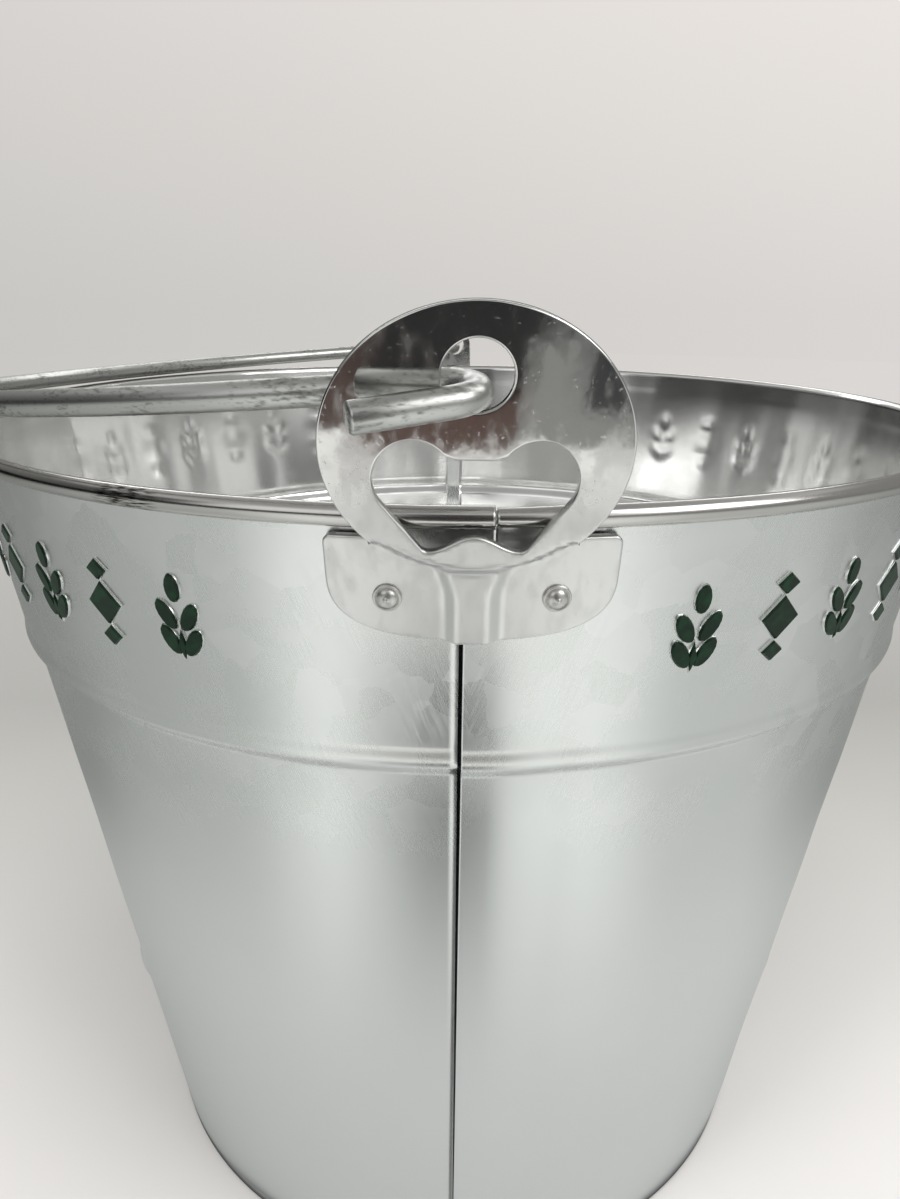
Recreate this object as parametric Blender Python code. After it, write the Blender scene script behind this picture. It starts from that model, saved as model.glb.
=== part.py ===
"""Galvanised beverage bucket: two half shells lapped under the ears, a base pan held in the
bottom fold, a rolled rim round a wire, a bottle-opener ear, a plain ear and a swinging bail.

Metres, +Z up. The origin is on the floor, on the bucket's axis. The opener ear faces -Y and the
bail lies down to -X, over the open mouth."""

import math

import bmesh
import bpy
from mathutils import Matrix, Vector

# The whole bucket
RIM_OUTER_DIAMETER = 0.2290
HEIGHT = 0.1895
BASE_DIAMETER = 0.1658

# Sheet of the two shells and the base, and the gap left between touching pieces
SHEET = 0.0005
FIT = 0.0003

# Two points nearer than this are one
MERGE_DISTANCE = 0.000003

# Rolled rim and the wire inside it
CURL_DIAMETER = 0.0034
CURL_TURN = math.radians(300)
CURL_FACETS = 12
RIM_WIRE_FACETS = 8

# Upper band, a little larger than the wall below it, and the bead at its foot
BAND_STAND_OUT = 0.0010
BAND_DEPTH = 0.0386
BEAD_STAND_OUT = 0.0016
BEAD_SHOULDER = 0.0033
BEAD_WIDTH = 0.0063

# Lapped side seams, measured along the wall from the middle of each ear
SEAM_EDGE = -0.0012
SEAM_WIDTH = 0.0043
SEAM_STEP = 0.0009
SEAM_FOOT = 0.0040
SEAM_HEAD_DROP = 0.0045
SEAM_HEAD_SLOPE = 0.0012

# Bottom fold of the shells and the base pan hooked into it
FOLD_RISE = 0.0050
FOLD_FACETS = 5
PAN_RISE = 0.0070
PAN_CORNER = 0.0018
PAN_CORNER_FACETS = 3
PAN_HEM_DEPTH = 0.0009

# Facets: each shell is half the round
SHELL_FACETS = 32
LAP_FACETS = 2
SMALL_ROUND_FACETS = 16
HOLE_FACETS = 24
PLATE_FACETS = 48

# Ears: stamped plates with two riveted wings and a raised rib over the seam
EAR_SHEET = 0.0015
WING_HALF_WIDTH = 0.0208
WING_TOP_DROP = 0.0027
WING_SHOULDER_DROP = 0.0084
WING_BOTTOM_DROP = 0.0187
WING_CORNER = 0.0012
WING_FULLNESS = 2.8
WING_COLUMNS = 24
RIB_HALF_WIDTH = 0.0042
RIB_FLANK = 0.0010
RIB_LIFT = 0.0016

# Opener ear: an oval disc with a bail hole over a cap-lifting opening
DISC_WIDTH = 0.0406
DISC_HEIGHT = 0.0362
DISC_RISE = 0.0110
BAIL_HOLE_DIAMETER = 0.0091
BAIL_HOLE_RISE = 0.0201
LIFTER_WIDTH = 0.0268
LIFTER_TOP_RISE = 0.0119
LIFTER_LOBE_RADIUS = 0.0052
LIP_RISE = 0.0093
LIP_HALF_WIDTH = 0.0028
LIP_BLEND_ANGLE = math.radians(143)
HUMP_RISE = -0.0013
LIFTER_CORNER_HALF_SPAN = 0.0062
LIFTER_CORNER_RADIUS = 0.0011
LIFTER_BOTTOM_RISE = -0.0034
LOBE_FACETS = 12
LIFTER_CORNER_FACETS = 3
HUMP_FACETS = 8

# Plain ear: a round-ended tab with a smaller bail hole
TAB_WIDTH = 0.0118
TAB_HOLE_DIAMETER = 0.0064
TAB_HOLE_RISE = 0.0092
TAB_FOOT_RISE = -0.0020

# Rivets: two through each ear
RIVET_SPAN = 0.0240
RIVET_DROP = 0.0119
RIVET_SHANK_DIAMETER = 0.0026
RIVET_HEAD_DIAMETER = 0.0040
RIVET_HEAD_HEIGHT = 0.0011
RIVET_BURR_DIAMETER = 0.0044
RIVET_BURR_HEIGHT = 0.0007
RIVET_DOME_FACETS = 4

# Bail: one wire, hooked outwards through both ears
BAIL_WIRE_DIAMETER = 0.0041
BAIL_BEND_RADIUS = 0.0050
BAIL_HOOK_LENGTH = 0.0126
BAIL_HOOK_SPREAD = math.radians(18)
BAIL_HOOK_TWIST = math.radians(10)
BAIL_ARCH_REACH = 0.1088
BAIL_PLAY = 0.00055
BAIL_ARCH_FACETS = 48
BAIL_BEND_FACETS = 8
BAIL_SIDES_RESOLUTION = 2

# How far a cutter runs past what it cuts
OVERRUN = 0.0020

# Sizes that follow
RIM_HEIGHT = HEIGHT - CURL_DIAMETER / 2
BEAD_TOP = RIM_HEIGHT - BAND_DEPTH
BEAD_CREST = BEAD_TOP - BEAD_SHOULDER
BEAD_FOOT = BEAD_TOP - BEAD_WIDTH
CURL_MID_RADIUS = (CURL_DIAMETER - SHEET) / 2
RIM_RADIUS = (RIM_OUTER_DIAMETER - CURL_DIAMETER) / 2
WALL_TOP_RADIUS = RIM_RADIUS - CURL_MID_RADIUS
WALL_BASE_RADIUS = (BASE_DIAMETER - SHEET) / 2
FOLD_RADIUS = SHEET + FIT
SEAM_LIFT = SHEET + FIT
FLARE = math.atan((WALL_TOP_RADIUS - BAND_STAND_OUT - WALL_BASE_RADIUS) / RIM_HEIGHT)
WING_SEAT = SHEET / 2 + FIT
PLATE_SEAT = CURL_MID_RADIUS * math.cos(FLARE) + CURL_DIAMETER / 2 + FIT
PLATE_MID = PLATE_SEAT + EAR_SHEET / 2
BAIL_PIVOT_RISE = BAIL_HOLE_RISE - BAIL_HOLE_DIAMETER / 2 + BAIL_WIRE_DIAMETER / 2 + BAIL_PLAY
TAB_PIVOT_RISE = TAB_HOLE_RISE - TAB_HOLE_DIAMETER / 2 + BAIL_WIRE_DIAMETER / 2 + BAIL_PLAY

# Colours of the bare metals: base colour, roughness
GALVANISED = (0.62, 0.64, 0.63), 0.42
BRIGHT_PLATE = (0.78, 0.78, 0.77), 0.12
WIRE_ZINC = (0.60, 0.61, 0.60), 0.38
RIVET_METAL = (0.70, 0.70, 0.69), 0.25


def clear_scene():
    for obj in list(bpy.data.objects):
        bpy.data.objects.remove(obj, do_unlink=True)


def metal(name, look):
    """A bare metal of one colour and roughness."""
    colour, roughness = look
    material = bpy.data.materials.new(name)
    material.use_nodes = True
    shader = material.node_tree.nodes["Principled BSDF"]
    shader.inputs["Base Color"].default_value = (*colour, 1.0)
    shader.inputs["Metallic"].default_value = 1.0
    shader.inputs["Roughness"].default_value = roughness
    return material


def add_object(name, data, material=None):
    obj = bpy.data.objects.new(name, data)
    bpy.context.collection.objects.link(obj)
    if material:
        data.materials.clear()
        data.materials.append(material)
    return obj


def finish_mesh(bm, name):
    """Turns a bmesh into a mesh with its faces outwards and its rounds shaded smooth."""
    bmesh.ops.recalc_face_normals(bm, faces=bm.faces)
    mesh = bpy.data.meshes.new(name)
    bm.to_mesh(mesh)
    bm.free()
    mesh.shade_smooth()
    mesh.set_sharp_from_angle(angle=math.radians(35))
    return mesh


def thicken(obj, thickness):
    solidify = obj.modifiers.new("Thickness", "SOLIDIFY")
    solidify.thickness = thickness
    solidify.offset = 0.0
    solidify.use_even_offset = True
    solidify.use_quality_normals = True


def combine(obj, tool, operation):
    """Joins a hidden tool object to obj, or cuts it out of obj."""
    tool.hide_render = True
    tool.display_type = "WIRE"
    modifier = obj.modifiers.new(operation.title() + " " + tool.name, "BOOLEAN")
    modifier.operation = operation
    modifier.object = tool
    modifier.solver = "EXACT"


def turned(name, profile, facets, material=None):
    """A solid turned about its own Z from (radius, height) points, both ends on the axis."""
    bm = bmesh.new()
    verts = [bm.verts.new((radius, 0.0, height)) for radius, height in profile]
    edges = [bm.edges.new(pair) for pair in zip(verts, verts[1:])]
    spin(bm, verts + edges, facets)
    return add_object(name, finish_mesh(bm, name), material)


def spin(bm, geometry, facets):
    bmesh.ops.spin(
        bm,
        geom=geometry,
        cent=(0.0, 0.0, 0.0),
        axis=(0.0, 0.0, 1.0),
        angle=2 * math.pi,
        steps=facets,
        use_merge=True,
    )
    bmesh.ops.remove_doubles(bm, verts=bm.verts, dist=MERGE_DISTANCE)


def prism(name, outline, lower, upper):
    """A solid between two copies of one outline: lower and upper place its points."""
    bm = bmesh.new()
    bottom = [bm.verts.new(lower(*point)) for point in outline]
    top = [bm.verts.new(upper(*point)) for point in outline]
    bm.faces.new(bottom)
    bm.faces.new(reversed(top))
    for index in range(len(outline)):
        following = (index + 1) % len(outline)
        bm.faces.new((bottom[index], bottom[following], top[following], top[index]))
    return add_object(name, finish_mesh(bm, name))


def arc(centre_x, centre_y, radius, start, end, facets):
    """Points of an arc, both ends included."""
    angles = [start + (end - start) * step / facets for step in range(facets + 1)]
    return [(centre_x + radius * math.cos(a), centre_y + radius * math.sin(a)) for a in angles]


# The wall: a flared cone with a larger band under the rim


def cone_radius(height):
    """Radius of the middle of the sheet on the plain cone."""
    return WALL_BASE_RADIUS + height * math.tan(FLARE)


def on_wall(along, up, out):
    """A point by the -Y ear: along the wall, up its slope from the rim's level, and outwards."""
    radius = WALL_TOP_RADIUS + up * math.sin(FLARE) + out * math.cos(FLARE)
    azimuth = along / WALL_TOP_RADIUS
    height = RIM_HEIGHT + up * math.cos(FLARE) - out * math.sin(FLARE)
    return Vector((radius * math.sin(azimuth), -radius * math.cos(azimuth), height))


def on_plate(across, up, out):
    """The same, on the flat plane that touches the wall at the middle of the -Y ear."""
    middle = on_wall(0.0, up, out)
    return Vector((across, middle.y, middle.z))


def shell_profile():
    """(radius, height) points of the middle of the sheet, from the fold's hem to the curl's lip."""
    fold_height = FOLD_RADIUS + SHEET / 2
    fold_centre = cone_radius(fold_height) - FOLD_RADIUS
    hem = (cone_radius(FOLD_RISE) - 2 * FOLD_RADIUS, FOLD_RISE)
    fold = arc(fold_centre, fold_height, FOLD_RADIUS, math.pi, 2 * math.pi, FOLD_FACETS)
    seam_head = RIM_HEIGHT - SEAM_HEAD_DROP
    wall = [
        (cone_radius(SEAM_FOOT), SEAM_FOOT),
        (cone_radius(BEAD_FOOT), BEAD_FOOT),
        (cone_radius(BEAD_CREST) + BEAD_STAND_OUT, BEAD_CREST),
        (cone_radius(BEAD_TOP) + BAND_STAND_OUT, BEAD_TOP),
        (cone_radius(seam_head) + BAND_STAND_OUT, seam_head),
        (cone_radius(seam_head + SEAM_HEAD_SLOPE) + BAND_STAND_OUT, seam_head + SEAM_HEAD_SLOPE),
    ]
    curl = arc(RIM_RADIUS, RIM_HEIGHT, CURL_MID_RADIUS, math.pi, math.pi - CURL_TURN, CURL_FACETS)
    return [hem] + fold + wall + curl


def shell_columns():
    """(azimuth, distance along the wall from it, is it part of the raised lap) of each column."""
    lap = [
        (0.0, SEAM_EDGE, True),
        (0.0, SEAM_EDGE + SEAM_WIDTH / 2, True),
        (0.0, SEAM_EDGE + SEAM_WIDTH, True),
        (0.0, SEAM_EDGE + SEAM_WIDTH + SEAM_STEP, False),
    ]
    plain = [(math.pi * step / SHELL_FACETS, 0.0, False) for step in range(1, SHELL_FACETS)]
    tongue = [
        (math.pi, SEAM_EDGE, False),
        (math.pi, SEAM_EDGE + SEAM_WIDTH / 2, False),
        (math.pi, SEAM_EDGE + SEAM_WIDTH - FIT, False),
    ]
    return lap + plain + tongue


def shell_mesh():
    """Half the wall, on +X. Its -Y margin is raised to lap over the other half's tongue, and the
    raised part stops short of the curl and the fold, which meet end to end."""
    profile = shell_profile()
    lifted = range(FOLD_FACETS + 2, len(profile) - CURL_FACETS - 2)
    last_lifted = lifted[-1]
    bm = bmesh.new()
    grid = []
    for azimuth, along, raised in shell_columns():
        column = []
        for index, (radius, height) in enumerate(profile):
            lift = SEAM_LIFT if raised and index in lifted else 0.0
            angle = azimuth + along / cone_radius(height)
            place = ((radius + lift) * math.sin(angle), -(radius + lift) * math.cos(angle), height)
            column.append(bm.verts.new(place))
        grid.append(column)
    for left in range(len(grid) - 1):
        for low in range(len(profile) - 1):
            in_lap = lifted[0] <= low < last_lifted
            if left < LAP_FACETS and not in_lap:
                continue
            near, far = grid[left], grid[left + 1]
            bm.faces.new((near[low], far[low], far[low + 1], near[low + 1]))
    loose = [vert for vert in bm.verts if not vert.link_faces]
    bmesh.ops.delete(bm, geom=loose, context="VERTS")
    return finish_mesh(bm, "half_shell")


def make_shells(material):
    mesh = shell_mesh()
    right = add_object("right_shell", mesh, material)
    left = add_object("left_shell", mesh, material)
    left.rotation_euler.z = math.pi
    for shell in (right, left):
        thicken(shell, SHEET)
    return right, left


def make_rim_wire(material):
    """The wire that the sheet is rolled round."""
    bpy.ops.mesh.primitive_torus_add(
        major_segments=2 * SHELL_FACETS,
        minor_segments=RIM_WIRE_FACETS,
        major_radius=RIM_RADIUS,
        minor_radius=CURL_MID_RADIUS - SHEET / 2 - FIT,
        location=(0.0, 0.0, RIM_HEIGHT),
    )
    wire = bpy.context.object
    wire.name = "rim_wire"
    wire.data.shade_smooth()
    wire.data.materials.append(material)


def make_base_pan(material):
    """A flat disc with a flange that hangs into the shells' bottom fold."""
    rim = cone_radius(PAN_RISE) - FOLD_RADIUS
    foot_height = SHEET + PAN_HEM_DEPTH
    foot = (cone_radius(foot_height) - FOLD_RADIUS, foot_height)
    corner = arc(
        rim - PAN_CORNER, PAN_RISE - PAN_CORNER, PAN_CORNER, math.pi / 2, 0.0, PAN_CORNER_FACETS
    )
    bm = bmesh.new()
    points = [(0.0, PAN_RISE)] + corner + [foot]
    verts = [bm.verts.new((radius, 0.0, height)) for radius, height in points]
    edges = [bm.edges.new(pair) for pair in zip(verts, verts[1:])]
    spin(bm, verts + edges, 2 * SHELL_FACETS)
    pan = add_object("base_pan", finish_mesh(bm, "base_pan"), material)
    thicken(pan, SHEET)


# The ears


def wing_bottom(along):
    """Lower edge of the wings: a full, rounded curve from shoulder to shoulder."""
    share = min(abs(along) / WING_HALF_WIDTH, 1.0)
    fall = (1.0 - share**WING_FULLNESS) ** (1.0 / WING_FULLNESS)
    return -WING_SHOULDER_DROP - (WING_BOTTOM_DROP - WING_SHOULDER_DROP) * fall


def wing_top(along):
    """Upper edge of the wings: straight, with small round corners."""
    past = max(abs(along) - (WING_HALF_WIDTH - WING_CORNER), 0.0)
    return -WING_TOP_DROP - WING_CORNER + math.sqrt(max(WING_CORNER**2 - past**2, 0.0))


def wing_columns():
    """Places across the wings, close together where the outline turns."""
    half_turns = [math.pi * step / WING_COLUMNS - math.pi / 2 for step in range(WING_COLUMNS + 1)]
    outer = [WING_HALF_WIDTH * math.sin(turn) for turn in half_turns]
    corner = WING_HALF_WIDTH - WING_CORNER
    clear = [place for place in outer if abs(place) > RIB_HALF_WIDTH + RIB_FLANK]
    rib = [RIB_HALF_WIDTH, RIB_HALF_WIDTH - RIB_FLANK]
    return sorted(clear + rib + [-place for place in rib] + [0.0, corner, -corner])


def make_wings(name):
    """The riveted part of an ear: a plate bent to the wall, raised along its middle over the seam."""
    bm = bmesh.new()
    sections = []
    for along in wing_columns():
        lift = RIB_LIFT if abs(along) < RIB_HALF_WIDTH - RIB_FLANK / 2 else 0.0
        inner, outer = WING_SEAT + lift, WING_SEAT + EAR_SHEET + lift
        low, high = wing_bottom(along), wing_top(along)
        corners = [(low, inner), (high, inner), (high, outer), (low, outer)]
        sections.append([bm.verts.new(on_wall(along, up, out)) for up, out in corners])
    for first, second in zip(sections, sections[1:]):
        bm.faces.new((first[0], first[3], second[3], second[0]))
        for corner in range(3):
            bm.faces.new((first[corner + 1], first[corner], second[corner], second[corner + 1]))
    bm.faces.new(sections[0])
    bm.faces.new(reversed(sections[-1]))
    return finish_mesh(bm, name)


def disc_outline(inset=0.0):
    """The oval disc of the opener ear, as (across, up) points, or the same drawn in by inset."""
    angles = [2 * math.pi * step / PLATE_FACETS for step in range(PLATE_FACETS)]
    wide, high = DISC_WIDTH / 2 - inset, DISC_HEIGHT / 2 - inset
    return [(wide * math.cos(a), DISC_RISE + high * math.sin(a)) for a in angles]


def tab_outline(inset=0.0):
    """The round-ended tab of the plain ear, as (across, up) points."""
    radius = TAB_WIDTH / 2 - inset
    facets = PLATE_FACETS // 2
    top = arc(0.0, TAB_HOLE_RISE, radius, 0.0, math.pi, facets)
    foot = arc(0.0, TAB_FOOT_RISE, radius, math.pi, 2 * math.pi, facets)
    return top + foot


def make_step(name, outline):
    """The wall of the stamping that lifts the plate off the wings, along the plate's lower edge."""
    pairs = [
        pair
        for pair in zip(outline(), outline(EAR_SHEET))
        if pair[0][1] < -WING_TOP_DROP - FIT and pair[1][1] < -WING_TOP_DROP - FIT
    ]
    wing_mid = WING_SEAT + EAR_SHEET / 2
    bm = bmesh.new()
    sections = []
    for outer, inner in pairs:
        section = [
            on_wall(*outer, wing_mid),
            on_plate(*outer, PLATE_MID),
            on_plate(*inner, PLATE_MID),
            on_wall(*inner, wing_mid),
        ]
        sections.append([bm.verts.new(place) for place in section])
    for first, second in zip(sections, sections[1:]):
        for corner in range(4):
            following = (corner + 1) % 4
            bm.faces.new((first[corner], first[following], second[following], second[corner]))
    bm.faces.new(sections[0])
    bm.faces.new(reversed(sections[-1]))
    return add_object(name, finish_mesh(bm, name))


def plate_prism(name, outline, low, high):
    return prism(
        name,
        outline,
        lambda across, up: on_plate(across, up, low),
        lambda across, up: on_plate(across, up, high),
    )


def round_hole(name, rise, diameter):
    """A cutter for a round hole through an ear's plate."""
    outline = arc(0.0, rise, diameter / 2, 0.0, 2 * math.pi, HOLE_FACETS)[:-1]
    return plate_prism(name, outline, PLATE_SEAT - OVERRUN, PLATE_SEAT + EAR_SHEET + OVERRUN)


def lifter_half():
    """Right half of the cap-lifting opening, from the lip round its lobe and corner to the hump."""
    lobe = (LIFTER_WIDTH / 2 - LIFTER_LOBE_RADIUS, LIFTER_TOP_RISE - LIFTER_LOBE_RADIUS)
    corner = (LIFTER_CORNER_HALF_SPAN, LIFTER_BOTTOM_RISE + LIFTER_CORNER_RADIUS)
    span = math.dist(lobe, corner)
    toward_lobe = math.atan2(lobe[1] - corner[1], lobe[0] - corner[0])
    tangent = toward_lobe - math.acos((LIFTER_CORNER_RADIUS - LIFTER_LOBE_RADIUS) / span)
    points = [(LIP_HALF_WIDTH, LIP_RISE)]
    points += arc(*lobe, LIFTER_LOBE_RADIUS, LIP_BLEND_ANGLE, tangent, LOBE_FACETS)
    points += arc(*corner, LIFTER_CORNER_RADIUS, tangent, -math.pi / 2, LIFTER_CORNER_FACETS)
    for step in range(1, HUMP_FACETS):
        share = 1.0 - step / HUMP_FACETS
        swell = (1.0 + math.cos(math.pi * share)) / 2
        rise = LIFTER_BOTTOM_RISE + (HUMP_RISE - LIFTER_BOTTOM_RISE) * swell
        points.append((LIFTER_CORNER_HALF_SPAN * share, rise))
    return points


def lifter_outline():
    right = lifter_half()
    left = [(-across, up) for across, up in reversed(right)]
    return right + [(0.0, HUMP_RISE)] + left


def make_ear(name, outline, cutters, turn, material):
    """One ear: wings, step and plate joined into one stamping, then pierced."""
    ear = add_object(name, make_wings(name), material)
    step = make_step(name + "_step", outline)
    plate = plate_prism(name + "_plate", outline(), PLATE_SEAT, PLATE_SEAT + EAR_SHEET)
    for piece in (step, plate):
        combine(ear, piece, "UNION")
    for cutter in cutters:
        combine(ear, cutter, "DIFFERENCE")
    for piece in (ear, step, plate, *cutters):
        piece.rotation_euler.z = turn
    return ear


def make_ears(material):
    lifter = plate_prism(
        "lifter_opening",
        lifter_outline(),
        PLATE_SEAT - OVERRUN,
        PLATE_SEAT + EAR_SHEET + OVERRUN,
    )
    bail_hole = round_hole("bail_hole", BAIL_HOLE_RISE, BAIL_HOLE_DIAMETER)
    opener = make_ear("opener_ear", disc_outline, (bail_hole, lifter), 0.0, material)
    tab_hole = round_hole("tab_hole", TAB_HOLE_RISE, TAB_HOLE_DIAMETER)
    plain = make_ear("plain_ear", tab_outline, (tab_hole,), math.pi, material)
    return opener, plain


# The rivets


def wall_frame(azimuth, along, up):
    """A frame on the wall by the ear at azimuth: X along the wall, Y up its slope, Z outwards."""
    turn = Matrix.Rotation(azimuth + along / WALL_TOP_RADIUS, 4, "Z")
    place = Matrix.Translation(on_wall(0.0, up, 0.0))
    upright = Matrix.Rotation(math.pi / 2 + FLARE, 4, "X")
    return turn @ place @ upright


def rivet_profile():
    """(radius, height) of a rivet, its foot inside the bucket and its dome outside the wing."""
    shank = RIVET_SHANK_DIAMETER / 2
    head = RIVET_HEAD_DIAMETER / 2
    burr = RIVET_BURR_DIAMETER / 2
    inner_seat = -SHEET / 2 - FIT
    outer_seat = WING_SEAT + EAR_SHEET + FIT
    dome = [
        (head * math.cos(turn), outer_seat + RIVET_HEAD_HEIGHT * math.sin(turn))
        for turn in (math.pi / 2 * step / RIVET_DOME_FACETS for step in range(RIVET_DOME_FACETS))
    ]
    foot = inner_seat - RIVET_BURR_HEIGHT
    inside = [(0.0, foot), (burr, foot), (burr, inner_seat)]
    through = [(shank, inner_seat), (shank, outer_seat)]
    return inside + through + dome + [(0.0, outer_seat + RIVET_HEAD_HEIGHT)]


def make_rivets(shells, ears, material):
    """A rivet through each wing, with a clearance hole for it in the ear and in its shell."""
    right_shell, left_shell = shells
    opener, plain = ears
    seats = (
        ("front_rivet_right", 0.0, 1, opener, right_shell),
        ("front_rivet_left", 0.0, -1, opener, left_shell),
        ("rear_rivet_left", math.pi, 1, plain, left_shell),
        ("rear_rivet_right", math.pi, -1, plain, right_shell),
    )
    bore = RIVET_SHANK_DIAMETER / 2 + FIT
    ends = (-OVERRUN, WING_SEAT + EAR_SHEET + OVERRUN)
    for name, azimuth, side, ear, shell in seats:
        frame = wall_frame(azimuth, side * RIVET_SPAN / 2, -RIVET_DROP)
        rivet = turned(name, rivet_profile(), SMALL_ROUND_FACETS, material)
        rivet.matrix_world = frame
        hole = [(0.0, ends[0]), (bore, ends[0]), (bore, ends[1]), (0.0, ends[1])]
        cutter = turned(name + "_hole", hole, SMALL_ROUND_FACETS)
        cutter.matrix_world = frame
        combine(ear, cutter, "DIFFERENCE")
        combine(shell, cutter, "DIFFERENCE")


# The bail


def pivots():
    """Where the bail's wire crosses the two ears."""
    front = on_plate(0.0, BAIL_PIVOT_RISE, PLATE_MID)
    rear = on_plate(0.0, TAB_PIVOT_RISE, PLATE_MID)
    rear.y = -rear.y
    return front, rear


def bail_drop(half_span, half_fall, arch_height):
    """Angle below the pivots' plane at which the lowered bail meets the rolled rim."""
    contact = RIM_HEIGHT + (CURL_DIAMETER + BAIL_WIRE_DIAMETER) / 2 + FIT
    room = arch_height - contact
    tilt = half_fall * (half_span - BAIL_BEND_RADIUS) / half_span
    square = BAIL_ARCH_REACH**2 - BAIL_BEND_RADIUS**2
    linear = room * BAIL_BEND_RADIUS
    sine = (math.sqrt(linear**2 + square * (room**2 - tilt**2)) - linear) / square
    return math.asin(sine)


def hook_points():
    """(along the axis, across it) of the front hook, from its cut end to the leg inside the ear.
    The wire crosses the ear where both are zero."""
    bend = [
        (BAIL_BEND_RADIUS * math.cos(turn), BAIL_BEND_RADIUS * (1.0 - math.sin(turn)))
        for turn in (
            (math.pi - BAIL_HOOK_SPREAD) * (1.0 - step / BAIL_BEND_FACETS)
            for step in range(BAIL_BEND_FACETS + 1)
        )
    ]
    end = (
        bend[0][0] - BAIL_HOOK_LENGTH * math.sin(BAIL_HOOK_SPREAD),
        bend[0][1] + BAIL_HOOK_LENGTH * math.cos(BAIL_HOOK_SPREAD),
    )
    return [end] + bend


def make_bail(material):
    """One wire, a hook, half an oval and the other hook, lying down to -X. Both hooks are twisted
    a little, so that their cut ends hang lower than the arch."""
    front, rear = pivots()
    axis = rear - front
    span = axis.length
    axis.normalize()
    lift = BAIL_BEND_RADIUS * math.sin(BAIL_HOOK_TWIST)
    leg = BAIL_BEND_RADIUS * math.cos(BAIL_HOOK_TWIST)
    drop = bail_drop(span / 2, (front.z - rear.z) / 2, (front.z + rear.z) / 2 + lift)
    sideways = Matrix.Rotation(-drop, 3, axis) @ Vector((-1.0, 0.0, 0.0))
    upwards = axis.cross(sideways)
    hook = [
        (along * math.cos(BAIL_HOOK_TWIST), across, along * math.sin(BAIL_HOOK_TWIST))
        for along, across in hook_points()
    ]
    reach = span / 2 - leg
    arch = [
        (span / 2 - reach * math.cos(turn), BAIL_BEND_RADIUS + BAIL_ARCH_REACH * math.sin(turn), lift)
        for turn in (math.pi * step / BAIL_ARCH_FACETS for step in range(1, BAIL_ARCH_FACETS))
    ]
    far_hook = [(span - along, across, up) for along, across, up in reversed(hook)]
    curve = bpy.data.curves.new("bail", "CURVE")
    curve.dimensions = "3D"
    curve.bevel_depth = BAIL_WIRE_DIAMETER / 2
    curve.bevel_resolution = BAIL_SIDES_RESOLUTION
    curve.use_fill_caps = True
    spline = curve.splines.new("POLY")
    places = hook + arch + far_hook
    spline.points.add(len(places) - 1)
    for point, (along, across, up) in zip(spline.points, places):
        point.co = (*(axis * along + sideways * across + upwards * up), 1.0)
    bail = add_object("bail", curve, material)
    bail.location = front


def main():
    clear_scene()
    galvanised = metal("galvanised sheet", GALVANISED)
    bright = metal("bright plated steel", BRIGHT_PLATE)
    zinc_wire = metal("zinc coated wire", WIRE_ZINC)
    rivet_metal = metal("rivet metal", RIVET_METAL)
    shells = make_shells(galvanised)
    make_rim_wire(zinc_wire)
    make_base_pan(galvanised)
    ears = make_ears(bright)
    make_rivets(shells, ears, rivet_metal)
    make_bail(zinc_wire)


main()
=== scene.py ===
"""A galvanised bucket with a bottle-opener ear and a wire bail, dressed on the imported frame.

The file is laid out as an add-on and run as a script. Metres, +Z up. The opener ear faces -Y and
the bail lies down to -X. "Along" is a distance round the wall from the middle of an ear, "up" a
distance up the wall's slope from the level of the rolled rim, and "out" a distance off the wall."""

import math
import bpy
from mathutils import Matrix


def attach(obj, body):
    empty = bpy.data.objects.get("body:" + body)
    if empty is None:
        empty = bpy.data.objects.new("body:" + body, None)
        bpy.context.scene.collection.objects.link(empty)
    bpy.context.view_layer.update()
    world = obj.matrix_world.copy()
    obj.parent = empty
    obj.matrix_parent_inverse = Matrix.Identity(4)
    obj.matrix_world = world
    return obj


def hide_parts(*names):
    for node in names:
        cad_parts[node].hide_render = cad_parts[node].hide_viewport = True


bl_info = {
    "name": "Galvanised bucket",
    "version": (1, 0, 0),
    "blender": (4, 5, 0),
    "location": "3D View > Sidebar > Bucket",
    "description": "Walls, base, ears, rivets, bail and ornaments of a bucket, and its studio",
    "category": "Add Mesh",
}

import bmesh
import bpy
from bpy.props import FloatProperty, FloatVectorProperty, IntProperty, PointerProperty
from mathutils import Matrix, Vector, noise

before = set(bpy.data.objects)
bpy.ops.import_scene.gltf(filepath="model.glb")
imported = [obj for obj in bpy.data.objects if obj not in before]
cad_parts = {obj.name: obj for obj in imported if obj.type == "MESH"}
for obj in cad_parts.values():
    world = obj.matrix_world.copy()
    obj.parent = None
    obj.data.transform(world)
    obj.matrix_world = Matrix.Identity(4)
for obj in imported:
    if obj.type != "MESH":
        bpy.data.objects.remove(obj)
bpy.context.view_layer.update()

# Two points nearer than this are one
MERGE = 0.000002


# Properties


def linear(code):
    """An sRGB hex colour as linear red, green, blue and alpha."""
    channels = [int(code[place : place + 2], 16) / 255 for place in (1, 3, 5)]
    bent = [c / 12.92 if c <= 0.04045 else ((c + 0.055) / 1.055) ** 2.4 for c in channels]
    return (*bent, 1.0)


def length(description, default):
    settings = {"precision": 5, "subtype": "DISTANCE", "unit": "LENGTH"}
    return FloatProperty(description=description, default=default, **settings)


def angle(description, degrees):
    settings = {"default": math.radians(degrees), "subtype": "ANGLE", "unit": "ROTATION"}
    return FloatProperty(description=description, **settings)


def share(description, default):
    settings = {"default": default, "min": 0.0, "max": 1.0, "subtype": "FACTOR"}
    return FloatProperty(description=description, **settings)


def colour(description, code):
    settings = {"default": linear(code), "size": 4, "min": 0.0, "max": 1.0, "subtype": "COLOR"}
    return FloatVectorProperty(description=description, **settings)


def watts(description, default):
    return FloatProperty(description=description + ", in watts", default=default)


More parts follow.
